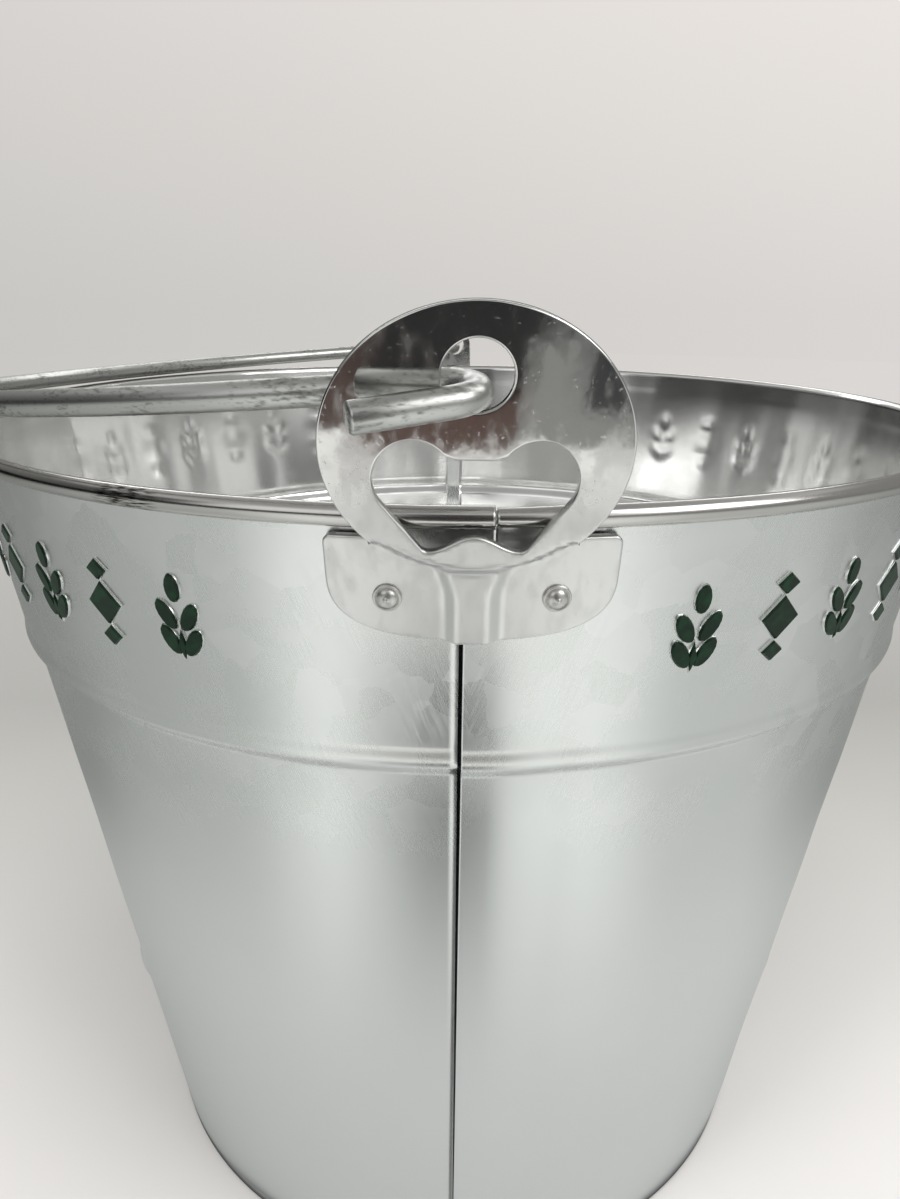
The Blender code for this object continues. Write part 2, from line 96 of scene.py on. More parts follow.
class BucketWall(bpy.types.PropertyGroup):
    rim_diameter: length("Across the outside of the rolled rim", 0.2290)
    height: length("From the floor to the top of the rolled rim", 0.1895)
    base_diameter: length("Across the foot of the wall", 0.1658)
    sheet: length("Thickness of the galvanised sheet", 0.0005)
    fit: length("Gap between touching pieces", 0.0003)
    curl_diameter: length("Thickness of the rolled rim", 0.0034)
    curl_turn: angle("How far round the rim's wire the sheet is rolled", 300.0)
    curl_pinch: share("How much thinner the rolled rim starts at its joint", 0.22)
    curl_pinch_length: length("Where the curl has its full thickness again", 0.016)
    band_stand_out: length("How far the upper band stands off the wall", 0.0010)
    band_depth: length("From the rim's level down to the bead", 0.0386)
    bead_stand_out: length("How far the bead's crest stands off", 0.0016)
    bead_shoulder: length("From the band down to the bead's crest", 0.0033)
    bead_width: length("From the band down to the bead's foot", 0.0063)
    seam_edge: length("Where the outer sheet's edge lies beside the ear", -0.0012)
    seam_width: length("Width of the raised lap", 0.0043)
    seam_step: length("Over how much the sheet comes back from the lap", 0.0140)
    seam_foot: length("Height at which the lap starts", 0.0040)
    seam_head_drop: length("How far under the rim the lap ends", 0.0045)
    seam_head_slope: length("Height of the slope at the lap's head", 0.0012)
    seam_groove: length("How far the inner sheet dips beside the lap", 0.0005)
    fold_rise: length("Height of the hem inside the bottom fold", 0.0050)
    pan_rise: length("Height of the base above the floor", 0.0070)
    pan_corner: length("Rounding of the base's edge", 0.0018)
    pan_hem: length("How far the base's flange stops over the floor", 0.0014)
    pan_ring: length("Depth of the ring pressed in the base", 0.0005)
    unevenness: length("How far the sheet waves in and out", 0.00010)
    lug_turn: angle("From the seams to the bumps that keep nested buckets apart", 68.0)
    lug_rise: length("Middle of those bumps over the floor", 0.0455)
    lug_height: length("Height of a bump", 0.0130)
    lug_width: length("Width of a bump", 0.0056)
    lug_stand_out: length("How far a bump stands off the wall", 0.0015)


class BucketEars(bpy.types.PropertyGroup):
    plate: length("Thickness of the stamped ears", 0.0015)
    edge_round: length("Rounding of the stamping's edges", 0.0003)
    grid: length("Spacing of the points on the curved parts", 0.0007)
    wing_half_width: length("From the middle to the side of a wing", 0.0208)
    wing_top_drop: length("From the rim's level down to the wings", 0.0027)
    wing_shoulder_drop: length("Where the wings' sides begin to round", 0.0084)
    wing_bottom_drop: length("From the rim's level down to the lower edge", 0.0187)
    wing_corner: length("Rounding of the wings' upper corners", 0.0012)
    rib_half_width: length("Half the raised rib over the seam", 0.0042)
    rib_flank: length("Width of each of the rib's slopes", 0.0021)
    rib_lift: length("How far the rib stands off the wings", 0.0013)
    rib_flare: length("How much wider the rib is under the disc", 0.0012)
    step_width: length("Width of the slope from the wings up to the disc", 0.0012)
    disc_width: length("Across the opener's disc", 0.0406)
    disc_height: length("Height of the opener's disc", 0.0362)
    disc_rise: length("Middle of the disc over the rim's level", 0.0110)
    bail_hole: length("Diameter of the hole for the bail", 0.0091)
    bail_hole_rise: length("Middle of that hole over the rim's level", 0.0201)
    lifter_width: length("Across the cap-lifting opening", 0.0268)
    lifter_top_rise: length("Top of the opening's two lobes", 0.0119)
    lifter_lobe: length("Radius of the lobes", 0.0052)
    lip_rise: length("Height of the lip between the lobes", 0.0093)
    lip_half_width: length("Half the straight part of the lip", 0.0028)
    lip_blend: angle("Where the lobes leave the lip", 143.0)
    hump_rise: length("Height of the hump in the lower edge", -0.0013)
    lower_corner_span: length("Middle of each lower corner", 0.0062)
    lower_corner: length("Radius of the lower corners", 0.0011)
    lifter_bottom_rise: length("Lowest level of the opening", -0.0034)
    tab_width: length("Across the plain ear's tab", 0.0118)
    tab_hole: length("Diameter of the hole in the tab", 0.0064)
    tab_hole_rise: length("Middle of that hole over the rim's level", 0.0092)
    tab_foot_rise: length("Middle of the tab's rounded foot", -0.0020)
    rivet_span: length("Between an ear's two rivets", 0.0240)
    rivet_drop: length("From the rim's level down to the rivets", 0.0119)
    shank: length("Diameter of a rivet's shank", 0.0026)
    head: length("Diameter of a rivet's head", 0.0042)
    head_rise: length("Height of a rivet's dome", 0.0011)
    burr: length("Diameter of a rivet's burr inside the bucket", 0.0044)
    burr_rise: length("Height of that burr", 0.0007)


class BucketBail(bpy.types.PropertyGroup):
    wire: length("Diameter of the bail's wire", 0.0041)
    bend: length("Radius of the bends at the hooks", 0.0050)
    hook_length: length("Length of a hook's straight end", 0.0126)
    hook_spread: angle("How far a hook opens from the bail", 18.0)
    hook_twist: angle("How far a hook turns under the bail", 10.0)
    reach: length("From the bends to the top of the arch", 0.1088)
    play: length("Gap under the wire in its holes", 0.00055)
    cut_round: length("Rounding of the wire's cut ends", 0.0004)


class BucketOrnaments(bpy.types.PropertyGroup):
    middle: length("Height of the row's middle over the floor", 0.1678)
    tall: length("Height of a motif", 0.0152)
    wide: length("Width of a motif", 0.0078)
    pitch: length("From one motif to the next", 0.0166)
    clear: length("From the middle of an ear to the nearest motif", 0.0362)
    relief: length("How far a motif stands off the wall", 0.0007)
    flank: length("Width of a motif's slopes", 0.00034)
    hollow: length("Depth of the dents behind the motifs", 0.00026)
    count: IntProperty(description="Motifs on each half", default=17, min=1)


class BucketColours(bpy.types.PropertyGroup):
    zinc_light: colour("Bright grains of the galvanised sheet", "#f1f2f1")
    zinc_dark: colour("Dull grains of the galvanised sheet", "#e1e3e1")
    zinc_inside: colour("The clean sheet inside the bucket", "#f4f4f3")
    # Painted shade: the rolled rim is the same sheet as the inside, coloured darker and browner
    zinc_rim_painted_shade: colour("The rolled rim, a little browner", "#cfcdca")
    wire_light: colour("Bail wire", "#cccdca")
    wire_dark: colour("Flecks and marks on the wire", "#908f8b")
    nickel: colour("Bright plate of the ears", "#e4e4e2")
    rivet: colour("Rivet heads", "#d8d7d4")
    enamel: colour("Green enamel on the motifs", "#0a2415")
    enamel_worn: colour("Thin places in the enamel", "#143c23")


class BucketStudio(bpy.types.PropertyGroup):
    eye: FloatVectorProperty(
        description="Where the camera stands",
        default=(-0.004319, -0.231173, 0.217358),
        subtype="TRANSLATION",
        unit="LENGTH",
        precision=6,
    )
    aim: FloatVectorProperty(
        description="Which way the camera looks", default=(0.00935, 0.94414, -0.32942)
    )
    upright: FloatVectorProperty(
        description="The camera's upward side", default=(-0.00418, 0.32946, 0.94416)
    )
    lens: FloatProperty(description="Focal length in mm, on a frame 36 mm wide", default=36.0)
    floor_radius: length("Radius of the floor", 3.0)
    backdrop_left: colour("Lower left of the plain background", "#c8c7c3")
    backdrop_right: colour("Lower right of the plain background", "#dad6d3")
    backdrop_top_left: colour("Upper left of the background", "#d7d3d0")
    backdrop_top_right: colour("Upper right of the background", "#ebe6e2")
    surround: colour("The studio's pale right side, as the metal shows it", "#8e8e8b")
    key: watts("Soft light on the right", 4.8)
    fill: watts("Soft light on the left", 6.5)
    top: watts("Soft light overhead", 10.0)
    back: watts("Soft light behind", 4.0)


PROPERTIES = {
    "bucket_wall": BucketWall,
    "bucket_ears": BucketEars,
    "bucket_bail": BucketBail,
    "bucket_ornaments": BucketOrnaments,
    "bucket_colours": BucketColours,
    "bucket_studio": BucketStudio,
}


# Measures that follow from the sizes


def smooth_share(value, start, end):
    """0 before start, 1 after end, and a smooth rise between them."""
    rise = min(max((value - start) / (end - start), 0.0), 1.0)
    return rise * rise * (3.0 - 2.0 * rise)


def steps(start, span, count, last=None):
    """Even steps up from start, a count of them to the span, without start itself."""
    return [start + span * step / count for step in range(1, (last or count) + 1)]


def arc(centre_x, centre_y, radius, start, end, facets):
    """Points of an arc, both ends included."""
    angles = [start + (end - start) * step / facets for step in range(facets + 1)]
    return [(centre_x + radius * math.cos(a), centre_y + radius * math.sin(a)) for a in angles]


class WallForm:
    """The wall's form: a flared cone with a bead and a slightly larger band above it."""

    def __init__(self):
        wall = bpy.context.scene.bucket_wall
        ears = bpy.context.scene.bucket_ears
        self.sizes = wall
        self.rim_height = wall.height - wall.curl_diameter / 2
        self.bead_top = self.rim_height - wall.band_depth
        self.bead_crest = self.bead_top - wall.bead_shoulder
        self.bead_foot = self.bead_top - wall.bead_width
        self.curl_radius = (wall.curl_diameter - wall.sheet) / 2
        self.rim_radius = (wall.rim_diameter - wall.curl_diameter) / 2
        self.top_radius = self.rim_radius - self.curl_radius
        self.base_radius = (wall.base_diameter - wall.sheet) / 2
        self.fold_radius = wall.sheet + wall.fit
        self.fold_top = self.fold_radius + wall.sheet / 2
        self.lap_end = wall.seam_edge + wall.seam_width
        self.lap_lift = wall.sheet + wall.fit
        self.seam_head = self.rim_height - wall.seam_head_drop
        self.slope = (self.top_radius - wall.band_stand_out - self.base_radius) / self.rim_height
        self.flare = math.atan(self.slope)
        self.wing_seat = wall.sheet / 2 + wall.fit
        curl_out = self.curl_radius * math.cos(self.flare) + wall.curl_diameter / 2
        self.plate_seat = curl_out + wall.fit
        self.plate_middle = self.plate_seat + ears.plate / 2

    def cone_radius(self, height):
        return self.base_radius + height * self.slope

    def relief(self, height):
        """How far the bead and the band stand off the plain cone at a height."""
        wall = self.sizes
        rise = smooth_share(height, self.bead_foot, self.bead_crest)
        fall = smooth_share(height, self.bead_crest, self.bead_top)
        return wall.bead_stand_out * rise - (wall.bead_stand_out - wall.band_stand_out) * fall

    def on_wall(self, along, up, out):
        radius = self.top_radius + up * math.sin(self.flare) + out * math.cos(self.flare)
        azimuth = along / self.top_radius
        height = self.rim_height + up * math.cos(self.flare) - out * math.sin(self.flare)
        return Vector((radius * math.sin(azimuth), -radius * math.cos(azimuth), height))

    def on_plate(self, across, up, out):
        middle = self.on_wall(0.0, up, out)
        return Vector((across, middle.y, middle.z))

    def frame(self, azimuth, along, up):
        """A frame on the wall: X along the wall, Y up its slope, Z outwards."""
        turn = Matrix.Rotation(azimuth + along / self.top_radius, 4, "Z")
        upright = Matrix.Rotation(math.pi / 2 + self.flare, 4, "X")
        return turn @ Matrix.Translation(self.on_wall(0.0, up, 0.0)) @ upright


# Making pieces


def put(name, data):
    """Puts data in the scene as an object."""
    made = bpy.data.objects.new(name, data)
    bpy.context.collection.objects.link(made)
    return made


def mesh_object(bm, name, materials):
    """Turns a bmesh into an object."""
    mesh = bpy.data.meshes.new(name)
    bm.to_mesh(mesh)
    bm.free()
    for material in materials:
        mesh.materials.append(material)
    return put(name, mesh)


def finish_piece(bm, name, body, materials, replaced=(), recalc=True):
    """Turns a bmesh into a named piece that rides on a body and stands for CAD nodes."""
    if recalc:
        bmesh.ops.recalc_face_normals(bm, faces=bm.faces)
    piece = mesh_object(bm, name, materials)
    piece.data.shade_smooth()
    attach(piece, body)
    if replaced:
        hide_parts(*replaced)
    return piece


def chain(bm, points, closed=False):
    """Verts and edges through points, the seed that spin, fill and extrude work on."""
    verts = [bm.verts.new(point) for point in points]
    followers = verts[1:] + verts[:1] if closed else verts[1:]
    edges = [bm.edges.new(pair) for pair in zip(verts, followers)]
    return verts, edges


def rotate(bm, verts, turn):
    """Turns verts about the bucket's axis."""
    matrix = Matrix.Rotation(turn, 3, "Z")
    bmesh.ops.rotate(bm, verts=verts, cent=(0.0, 0.0, 0.0), matrix=matrix)


def spin(bm, geometry, turn, facets, merge=False):
    """Spins geometry about the bucket's axis, and gives the last row back."""
    made = bmesh.ops.spin(
        bm,
        geom=geometry,
        cent=(0.0, 0.0, 0.0),
        axis=(0.0, 0.0, 1.0),
        angle=turn,
        steps=facets,
        use_merge=merge,
    )
    return made["geom_last"]


def lathe(points, facets):
    """A closed round form from (radius, height) points."""
    bm = bmesh.new()
    verts, edges = chain(bm, [(radius, 0.0, height) for radius, height in points])
    spin(bm, verts + edges, 2 * math.pi, facets, merge=True)
    bmesh.ops.remove_doubles(bm, verts=bm.verts, dist=MERGE)
    return bm


def raise_copy(bm, faces):
    """Extrudes faces and keeps them too: the new faces and the new verts."""
    made = bmesh.ops.extrude_face_region(bm, geom=faces, use_keep_orig=True)["geom"]
    top = [item for item in made if isinstance(item, bmesh.types.BMFace)]
    return top, [item for item in made if isinstance(item, bmesh.types.BMVert)]


def inset(bm, faces, thickness, depth):
    """Insets faces evenly, raises them by depth, and gives the new faces round them."""
    made = bmesh.ops.inset_region(
        bm,
        faces=faces,
        thickness=thickness,
        depth=depth,
        use_boundary=True,
        use_even_offset=True,
    )
    return made["faces"]


def face_up(faces):
    """Turns flat faces so that they look to +Z."""
    for face in faces:
        if face.normal.z < 0.0:
            face.normal_flip()


# The walls

# How far beside a seam the sheet keeps the seam's own widths, and where it has left them
SEAM_REACH, SEAM_LEFT = 0.008, 0.020

# Where the groove beside the outer sheet's edge begins, and where it has its full depth
GROOVE_START, GROOVE_FULL = 0.0019, 0.0002

# The sheet's unevenness: the height that counts as one radian round the wall, and waves to each
WAVE_HEIGHT, WAVES = 0.05, 2.2

# How far a dent behind a motif's shape reaches, as a share of that shape, and how far from its
# middle a motif is looked for, as a share of its height
DENT_REACH, MOTIF_REACH = 1.45, 0.65

# Heights between which the wall is plain enough to tell its outside from its inside
PLAIN_WALL = 0.02, 0.15


def wall_profile(form):
    """(radius, height) points of the middle of the sheet, from the fold's hem to the curl's lip."""
    wall = form.sizes
    fold_centre = form.cone_radius(form.fold_top) - form.fold_radius
    hem = (form.cone_radius(wall.fold_rise) - 2 * form.fold_radius, wall.fold_rise)
    fold = arc(fold_centre, form.fold_top, form.fold_radius, math.pi, 2 * math.pi, 10)
    heights = steps(form.fold_top, wall.seam_foot - form.fold_top, 6, 7)
    heights += steps(wall.seam_foot, form.bead_foot - wall.seam_foot, 16)
    heights += steps(form.bead_foot, wall.bead_width, 14)
    heights += steps(form.bead_top, form.seam_head - form.bead_top, 26)
    heights += [form.seam_head + wall.seam_head_slope / 2, form.seam_head + wall.seam_head_slope]
    sheet = [(form.cone_radius(height) + form.relief(height), height) for height in heights]
    turn = math.pi - wall.curl_turn
    curl = arc(form.rim_radius, form.rim_height, form.curl_radius, math.pi, turn, 24)
    return [hem] + fold + sheet + curl


def bend_seams(bm, form):
    """Gives the two margins of a half wall their lap, groove, curl joint and even widths."""
    wall = form.sizes
    lap_end = form.lap_end
    head_end = form.seam_head + wall.seam_head_slope
    curl_centre = Vector((form.rim_radius, form.rim_height))
    for vert in bm.verts:
        radius = math.hypot(vert.co.x, vert.co.y)
        height = vert.co.z
        azimuth = math.atan2(vert.co.x, -vert.co.y)
        if azimuth < -math.pi / 2:
            azimuth += 2 * math.pi
        base = 0.0 if azimuth < math.pi / 2 else math.pi
        along = (azimuth - base) * form.top_radius
        close = 1.0 - smooth_share(abs(along), SEAM_REACH, SEAM_LEFT)
        true_radius = form.cone_radius(height)
        turned = base + along * (close / true_radius + (1.0 - close) / form.top_radius)
        up_wall = smooth_share(height, form.fold_top, wall.seam_foot)
        up_wall *= 1.0 - smooth_share(height, form.seam_head, head_end)
        if base == 0.0:
            joggle = 1.0 - smooth_share(along, lap_end, lap_end + wall.seam_step)
            radius += form.lap_lift * joggle * up_wall
            if height > head_end:
                far = smooth_share(along, lap_end, wall.curl_pinch_length)
                place = Vector((radius, height))
                place += (curl_centre - place) * (wall.curl_pinch * (1.0 - far))
                radius, height = place
        else:
            edge = wall.seam_edge
            dip = smooth_share(along, edge - GROOVE_START, edge - GROOVE_FULL)
            radius -= wall.seam_groove * dip * up_wall
        if wall.seam_foot < height < form.seam_head:
            round_wall = Vector((math.sin(azimuth), math.cos(azimuth), height / WAVE_HEIGHT))
            wave = noise.noise(round_wall * WAVES)
            radius += wall.unevenness * wave * (1.0 - close) * 2.0
        vert.co = (radius * math.sin(turned), -radius * math.cos(turned), height)


def press_motifs(bm, form):
    """Hollows the sheet's inside behind each motif and leaves its outside as it is: a vertex's
    weight is the share of the sheet's thickness that is left there."""
    row = bpy.context.scene.bucket_ornaments
    share_left = bm.verts.layers.deform.verify()
    kinds = [motif_shapes(kind, row.wide, row.tall) for kind in (0, 1)]
    for vert in bm.verts:
        up = vert.co.z - row.middle
        along = math.atan2(vert.co.x, -vert.co.y) * form.top_radius
        along += math.tau * form.top_radius if along < 0.0 else 0.0
        index = round((along - row.clear) / row.pitch)
        across = along - row.clear - index * row.pitch
        dent = 0.0
        if abs(up) < row.tall * MOTIF_REACH and 0 <= index < row.count:
            for _, half_wide, half_tall, turn, middle in kinds[index % 2]:
                offset = Vector((across, up)) - Vector(middle)
                offset.rotate(Matrix.Rotation(-turn, 2))
                reach = math.hypot(offset.x / half_wide, offset.y / half_tall)
                dent = max(dent, smooth_share(reach, DENT_REACH, 0.0))
        hollow = row.hollow / form.sizes.sheet * dent
        vert[share_left][0] = 1.0 - hollow
        grown = 1.0 + form.sizes.sheet * hollow / 2 / math.hypot(vert.co.x, vert.co.y)
        vert.co.x *= grown
        vert.co.y *= grown


def half_wall(form):
    """One half of the wall, spun from the profile, from the lap to the tongue under the other."""
    wall = form.sizes
    tongue_end = form.lap_end - wall.fit
    bm = bmesh.new()
    verts, edges = chain(bm, [(0.0, -radius, height) for radius, height in wall_profile(form)])
    rotate(bm, verts, wall.seam_edge / form.top_radius)
    last = spin(bm, verts + edges, wall.seam_width / form.top_radius, 12)
    last = spin(bm, last, (SEAM_REACH - form.lap_end) / form.top_radius, 14)
    last = spin(bm, last, math.pi - 2 * SEAM_REACH / form.top_radius, 260)
    spin(bm, last, (SEAM_REACH + tongue_end) / form.top_radius, 30)
    bmesh.ops.remove_doubles(bm, verts=bm.verts, dist=MERGE)
    clear = []
    for face in bm.faces:
        middle = face.calc_center_median()
        azimuth = math.atan2(middle.x, -middle.y)
        over_lap = azimuth * form.top_radius < form.lap_end and abs(azimuth) < math.pi / 2
        on_sheet = wall.seam_foot < middle.z < form.seam_head
        outer = math.hypot(middle.x, middle.y) > form.cone_radius(middle.z) - wall.sheet
        if over_lap and not (on_sheet and outer):
            clear.append(face)
    bmesh.ops.delete(bm, geom=clear, context="FACES")
    press_motifs(bm, form)
    bend_seams(bm, form)
    return bm


def face_outwards(bm):
    """Turns an open sheet so that its plain wall faces away from the bucket's axis."""
    bmesh.ops.recalc_face_normals(bm, faces=bm.faces)
    facing = 0.0
    for face in bm.faces:
        middle = face.calc_center_median()
        if PLAIN_WALL[0] < middle.z < PLAIN_WALL[1]:
            facing += face.normal.dot(Vector((*middle.xy, 0.0))) * face.calc_area()
    if facing < 0.0:
        bmesh.ops.reverse_faces(bm, faces=bm.faces)


def thicken(piece, thickness):
    solidify = piece.modifiers.new("Sheet", "SOLIDIFY")
    solidify.thickness = thickness
    solidify.offset = 0.0
    solidify.use_even_offset = True
    solidify.use_quality_normals = True
    solidify.material_offset = 1
    if piece.data.vertices[0].groups:
        solidify.vertex_group = piece.vertex_groups.new(name="sheet left").name


class BUCKET_OT_walls(bpy.types.Operator):
    """Makes the two half walls with their rolled rim, bead, band and lapped seams"""

    bl_idname = "bucket.walls"
    bl_label = "Half walls"

    def execute(self, context):
        form = WallForm()
        materials = (
            galvanised_sheet("galvanised sheet, outside", seams=True),
            rolled_sheet("galvanised sheet, inside"),
        )
        for side, turn in (("right", 0.0), ("left", math.pi)):
            bm = half_wall(form)
            rotate(bm, bm.verts, turn)
            face_outwards(bm)
            node = (side + "_shell",)
            piece = finish_piece(
                bm, side + "_wall", "bucket", materials, node, False
            )
            thicken(piece, form.sizes.sheet)
        return {"FINISHED"}


# The inner seam folds: how far they start over the hem and stop under the lap's head, how far
# they start before the outer sheet's edge, and how much wider than the lap they are
FOLD_START, FOLD_STOP, FOLD_LEAD, FOLD_EXTRA = 0.0030, 0.0005, 0.0014, 0.0010


class BUCKET_OT_seam_folds(bpy.types.Operator):
    """Makes the flattened folds that lock the two seams on the inside"""

    bl_idname = "bucket.seam_folds"
    bl_label = "Seam folds"

    def execute(self, context):
        form = WallForm()
        wall = form.sizes
        low, high = wall.fold_rise + FOLD_START, form.seam_head - FOLD_STOP
        depth = wall.sheet * 1.5 + wall.seam_groove
        material = galvanised_sheet("galvanised sheet, seam folds")
        for name, azimuth in (("front_seam_fold", 0.0), ("rear_seam_fold", math.pi)):
            bm = bmesh.new()
            points = [
                (0.0, -(form.cone_radius(height) + form.relief(height) - depth), height)
                for height in [low] + steps(low, high - low, 60)
            ]
            verts, edges = chain(bm, points)
            rotate(bm, verts, azimuth + (wall.seam_edge - FOLD_LEAD) / form.top_radius)
            spin(bm, verts + edges, (wall.seam_width + FOLD_EXTRA) / form.top_radius, 10)
            bmesh.ops.recalc_face_normals(bm, faces=bm.faces)
            bmesh.ops.solidify(bm, geom=bm.faces[:], thickness=wall.sheet)
            inner = [edge for edge in bm.edges if len(edge.link_faces) == 2]
            corners = [edge for edge in inner if edge.calc_face_angle() > 1.0]
            bmesh.ops.bevel(
                bm,
                geom=corners,
                offset=wall.sheet * 0.4,
                segments=2,
                profile=0.5,
                affect="EDGES",
                material=-1,
            )
            finish_piece(bm, name, "bucket", [material])
        return {"FINISHED"}


# How deep the nesting bumps' inner half sits in the sheet, and how flat it is pressed there
LUG_ROOT, LUG_FLATNESS = 0.0002, 0.02


class BUCKET_OT_lugs(bpy.types.Operator):
    """Makes the four small bumps on the wall that keep nested buckets from jamming"""

    bl_idname = "bucket.lugs"
    bl_label = "Nesting bumps"

    def execute(self, context):
        form = WallForm()
        wall = form.sizes
        bm = bmesh.new()
        radius = form.cone_radius(wall.lug_rise)
        size = (wall.lug_width / 2, wall.lug_stand_out + LUG_ROOT, wall.lug_height / 2)
        seat = Matrix.Translation((0.0, -radius + LUG_ROOT, wall.lug_rise))
        lean = Matrix.Rotation(form.flare, 4, "X")
        turn = wall.lug_turn
        for azimuth in (turn, math.pi - turn, -turn, turn - math.pi):
            made = bmesh.ops.create_uvsphere(bm, u_segments=32, v_segments=20, radius=1.0)
            ball = made["verts"]
            bmesh.ops.scale(bm, verts=ball, vec=size)
            inner = [vert for vert in ball if vert.co.y > 0.0]
            bmesh.ops.scale(bm, verts=inner, vec=(1.0, LUG_FLATNESS, 1.0))
            place = Matrix.Rotation(azimuth, 4, "Z") @ seat @ lean
            bmesh.ops.transform(bm, verts=ball, matrix=place)
        material = galvanised_sheet("galvanised sheet, nesting bumps")
        finish_piece(bm, "nesting_bumps", "bucket", [material])
        return {"FINISHED"}


# The ring pressed in the base: how far its middle lies from the edge, and half its width
RING_INSET, RING_HALF_WIDTH = 0.009, 0.0016


class BUCKET_OT_base(bpy.types.Operator):
    """Makes the base, a disc with a flange that hangs into the walls' bottom fold"""

    bl_idname = "bucket.base"
    bl_label = "Base"

    def execute(self, context):
        form = WallForm()
        wall = form.sizes
        level, corner = wall.pan_rise, wall.pan_corner
        rim = form.cone_radius(level) - form.fold_radius
        ring = rim - RING_INSET
        points = [(0.0, level)]
        for side, deep in ((-1.0, 0.0), (-0.5, 0.5), (0.0, 1.0), (0.5, 0.5), (1.0, 0.0)):
            points.append((ring + RING_HALF_WIDTH * side, level - wall.pan_ring * deep))
        points += arc(rim - corner, level - corner, corner, math.pi / 2, 0.0, 8)
        points.append((form.cone_radius(wall.pan_hem) - form.fold_radius, wall.pan_hem))
        bm = lathe(points, 192)
        bmesh.ops.recalc_face_normals(bm, faces=bm.faces)
        if max(bm.faces, key=lambda face: face.calc_area()).normal.z < 0.0:
            bmesh.ops.reverse_faces(bm, faces=bm.faces)
        materials = [galvanised_sheet("galvanised sheet, base")]
        piece = finish_piece(
            bm, "bottom_pan", "bucket", materials, ("base_pan",), False
        )
        thicken(piece, wall.sheet)
        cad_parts["rim_wire"].data.materials.clear()
        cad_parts["rim_wire"].data.materials.append(zinc_wire("zinc wire in the rim"))
        return {"FINISHED"}


# The ears

# How far over the rim's level the stampings are cut into a grid, since they are bent below it
CUT_TOP = 0.0014

# How full the curve of the wings' lower edge is: 2 is an ellipse, and more is squarer
WING_FULLNESS = 2.8

# How far the rib's flare under the disc reaches down
FLARE_REACH = 0.0060

# The wings' inner corners beside the disc: where the top edge ends and where it meets the disc
TOP_END, TOP_CORNER = 0.0008, 0.0002

# How far over the wings' top the disc's outline starts, and how far short of its end the lip stops
DISC_START, LIP_SHORT = 0.0005, 0.0004

# Half the height over which the step up to the disc begins
STEP_BLEND = 0.0003


def wing_bottom(ears, along):
    across = min(abs(along) / ears.wing_half_width, 1.0)
    fall = (1.0 - across**WING_FULLNESS) ** (1.0 / WING_FULLNESS)
    return -ears.wing_shoulder_drop - (ears.wing_bottom_drop - ears.wing_shoulder_drop) * fall


def wings_outline(ears, crossing):
    """Right half of the wings' outline, from the middle of the lower edge to the disc."""
    wide, top, corner = ears.wing_half_width, -ears.wing_top_drop, ears.wing_corner
    lower = [wide * math.sin(math.pi / 2 * step / 30) for step in range(31)]
    outline = [(across, wing_bottom(ears, across)) for across in lower]
    outline += arc(wide - corner, top - corner, corner, 0.0, math.pi / 2, 6)
    return outline + [(crossing + TOP_END, top), (crossing + TOP_CORNER, top + TOP_CORNER)]


def mirrored(half):
    """A closed outline from its right half, which starts and ends near the middle line."""
    left = [(-across, up) for across, up in reversed(half) if across > MERGE]
    return half + left


def hole_outline(diameter, rise):
    turns = [2 * math.pi * step / 48 for step in range(48)]
    radius = diameter / 2
    return [(radius * math.cos(turn), rise + radius * math.sin(turn)) for turn in turns]


def opener_outline(ears):
    wide, high = ears.disc_width / 2, ears.disc_height / 2
    start = math.asin((-ears.wing_top_drop + DISC_START - ears.disc_rise) / high)
    crossing = wide * math.cos(start)
    turns = [start + (math.pi / 2 - start) * step / 50 for step in range(51)]
    disc = [(wide * math.cos(turn), ears.disc_rise + high * math.sin(turn)) for turn in turns]
    disc[-1] = (0.0, disc[-1][1])
    return mirrored(wings_outline(ears, crossing) + disc)


def tab_outline(ears):
    radius = ears.tab_width / 2
    top = arc(0.0, ears.tab_hole_rise, radius, 0.0, math.pi / 2, 24)
    top[-1] = (0.0, top[-1][1])
    return mirrored(wings_outline(ears, radius) + [(radius, 0.0)] + top)


def lifter_outline(ears):
    """The cap-lifting opening: a lip between two lobes, and a hump between two lower corners."""
    lobe = (ears.lifter_width / 2 - ears.lifter_lobe, ears.lifter_top_rise - ears.lifter_lobe)
    corner = (ears.lower_corner_span, ears.lifter_bottom_rise + ears.lower_corner)
    toward_lobe = math.atan2(lobe[1] - corner[1], lobe[0] - corner[0])
    span = math.dist(lobe, corner)
    tangent = toward_lobe - math.acos((ears.lower_corner - ears.lifter_lobe) / span)
    half = [(0.0, ears.lip_rise), (ears.lip_half_width - LIP_SHORT, ears.lip_rise)]
    half += arc(*lobe, ears.lifter_lobe, ears.lip_blend, tangent, 30)
    half += arc(*corner, ears.lower_corner, tangent, -math.pi / 2, 6)
    for step in range(1, 17):
        place = 1.0 - step / 16
        swell = (1.0 + math.cos(math.pi * place)) / 2
        rise = ears.lifter_bottom_rise + (ears.hump_rise - ears.lifter_bottom_rise) * swell
        half.append((ears.lower_corner_span * place, rise))
    return mirrored(half)


